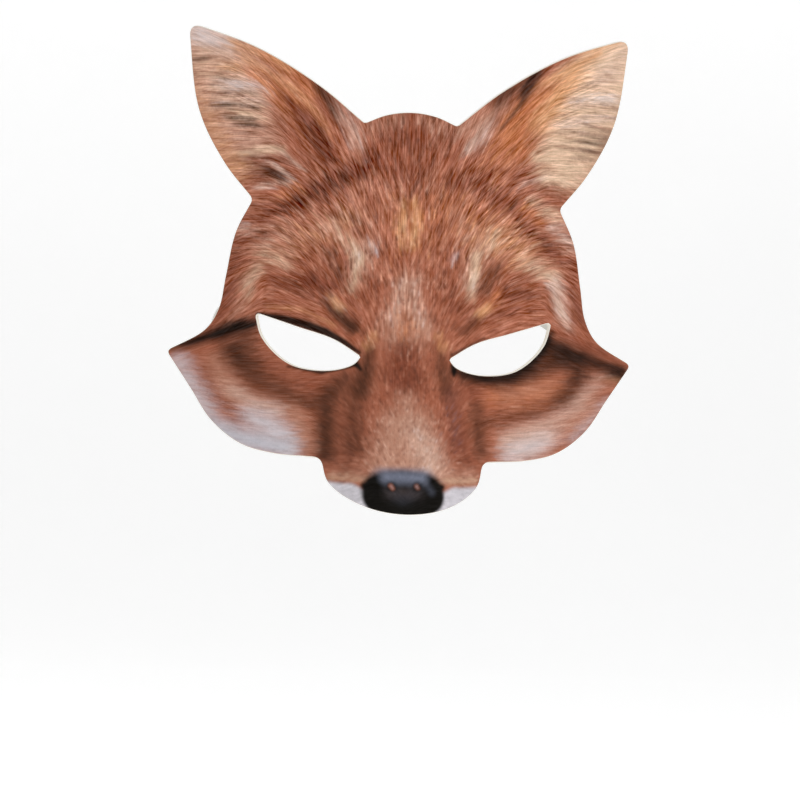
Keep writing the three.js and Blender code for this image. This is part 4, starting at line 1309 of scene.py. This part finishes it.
def look_at(stage):
    """Camera matrix from its angles round the target."""
    a, e, r = stage.azimuth, stage.elevation, stage.roll
    back = Vector((math.sin(a) * math.cos(e), -math.cos(a) * math.cos(e), math.sin(e)))
    level = Vector((math.cos(a), math.sin(a), 0))
    plumb = back.cross(level)
    right = level * math.cos(r) + plumb * math.sin(r)
    up = plumb * math.cos(r) - level * math.sin(r)
    matrix = Matrix((right, up, back)).transposed().to_4x4()
    matrix.translation = Vector(stage.target) + back * stage.distance
    return matrix


def add_camera(stage):
    camera = bpy.data.cameras.new("camera")
    camera.lens = camera.sensor_width * stage.distance / stage.view_width
    item = add_object("camera", camera)
    item.matrix_world = look_at(stage)
    bpy.context.scene.camera = item


def add_sweep(stage):
    """Floor that curves up into a backdrop."""
    floor = -stage.floor_drop
    bend = [math.radians(a) for a in range(0, 91, SWEEP.facet)]
    profile = [(-SWEEP.reach, floor)]
    profile += [
        (SWEEP.back + SWEEP.radius * math.sin(a), floor + SWEEP.radius * (1 - math.cos(a)))
        for a in bend
    ]
    profile += [(SWEEP.back + SWEEP.radius, SWEEP.height)]
    points = [(x, y, z) for y, z in profile for x in (-SWEEP.half, SWEEP.half)]
    faces = [(2 * i, 2 * i + 1, 2 * i + 3, 2 * i + 2) for i in range(len(profile) - 1)]
    finish = Finish(PAPER_SURFACE)
    tint = finish.noise(finish.place(), PAPER_CLOUD) - 0.5
    finish.set(
        Base_Color=tuple(stage.floor_colour) * (1 + PAPER_TINT * tint),
        Emission_Color=WHITE,
        Emission_Strength=stage.floor_glow,
    )
    sweep = add_mesh("sweep", points, faces, [finish.material])


def add_lamp(lamp):
    light = bpy.data.lights.new(lamp.at, "AREA")
    light.shape = "DISK"
    light.size = lamp.size
    light.energy = lamp.power
    item = add_object(lamp.at, light)
    item.location = (lamp.x, lamp.y, lamp.z)
    item.rotation_euler = (-item.location).to_track_quat("-Z", "Y").to_euler()


def add_ambient(strength):
    world = bpy.data.worlds.new("studio")
    world.use_nodes = True
    background = world.node_tree.nodes["Background"]
    background.inputs["Color"].default_value = WHITE
    background.inputs["Strength"].default_value = strength
    bpy.context.scene.world = world


# Operators

class FOXMASK_OT_stage(Operator):
    """Add the camera, the floor with its backdrop and the studio light"""

    bl_idname = "fox_mask.stage"
    bl_label = "Stage"
    bl_options = {"REGISTER", "UNDO"}

    def execute(self, context):
        stage = context.scene.fox_mask.stage
        add_camera(stage)
        add_sweep(stage)
        for lamp in LAMPS:
            add_lamp(lamp)
        add_ambient(stage.ambient)
        context.scene.view_settings.view_transform = "Standard"
        return {"FINISHED"}


class FOXMASK_OT_sheet(Operator):
    """Add the printed foam sheet with its ears, eye holes, flaps and muzzle"""

    bl_idname = "fox_mask.sheet"
    bl_label = "Printed Sheet"
    bl_options = {"REGISTER", "UNDO"}

    def execute(self, context):
        settings = context.scene.fox_mask
        points, faces, printed, place, corners = sheet_mesh(settings.sheet)
        materials = [fur_print_material(settings.inks, settings.fur), bare_foam_material(settings.foam)]
        piece = new_piece("fox_sheet", points, faces, materials, "mask_shell")
        mesh = piece.data
        mesh.polygons.foreach_set("material_index", np.where(printed, 0, 1).astype(np.int32))
        store_print(mesh, settings.fur, place)
        bake_map = mesh.uv_layers.new(name="OFBake")
        bake_map.uv.foreach_set("vector", corners.astype(np.float32).ravel())
        return {"FINISHED"}


class FOXMASK_OT_band(Operator):
    """Add the woven elastic that goes round the back of the head"""

    bl_idname = "fox_mask.band"
    bl_label = "Elastic"
    bl_options = {"REGISTER", "UNDO"}

    def execute(self, context):
        settings = context.scene.fox_mask
        points, faces, run, across = band_mesh(settings.sheet, settings.band)
        materials = [elastic_material(settings.band)]
        piece = new_piece("elastic", points, faces, materials, "elastic_band")
        store(piece.data, "band_run", run)
        store(piece.data, "band_across", across)
        return {"FINISHED"}


class FOXMASK_PT_panel(Panel):
    """Sidebar list of the mask's parts and settings"""

    bl_idname = "FOXMASK_PT_panel"
    bl_label = "Fox Mask"
    bl_space_type = "VIEW_3D"
    bl_region_type = "UI"
    bl_category = "Fox Mask"

    def draw(self, context):
        settings = context.scene.fox_mask
        for operator in OPERATORS:
            self.layout.operator(operator.bl_idname)
        for group in GROUPS:
            box = self.layout.box()
            owner = getattr(settings, group)
            for name in owner.bl_rna.properties.keys():
                if name not in {"name", "rna_type"}:
                    box.prop(owner, name)


GROUPS = ("sheet", "fur", "inks", "foam", "band", "stage")
OPERATORS = (FOXMASK_OT_stage, FOXMASK_OT_sheet, FOXMASK_OT_band)
CLASSES = (
    FoxMaskSheet,
    FoxMaskFur,
    FoxMaskInks,
    FoxMaskFoam,
    FoxMaskBand,
    FoxMaskStage,
    FoxMaskSettings,
    *OPERATORS,
    FOXMASK_PT_panel,
)


def register():
    for item in CLASSES:
        bpy.utils.register_class(item)
    bpy.types.Scene.fox_mask = PointerProperty(type=FoxMaskSettings)


def unregister():
    del bpy.types.Scene.fox_mask
    for item in reversed(CLASSES):
        bpy.utils.unregister_class(item)


def main():
    register()
    bpy.ops.fox_mask.stage()
    bpy.ops.fox_mask.sheet()
    bpy.ops.fox_mask.band()


if __name__ == "__main__":
    main()
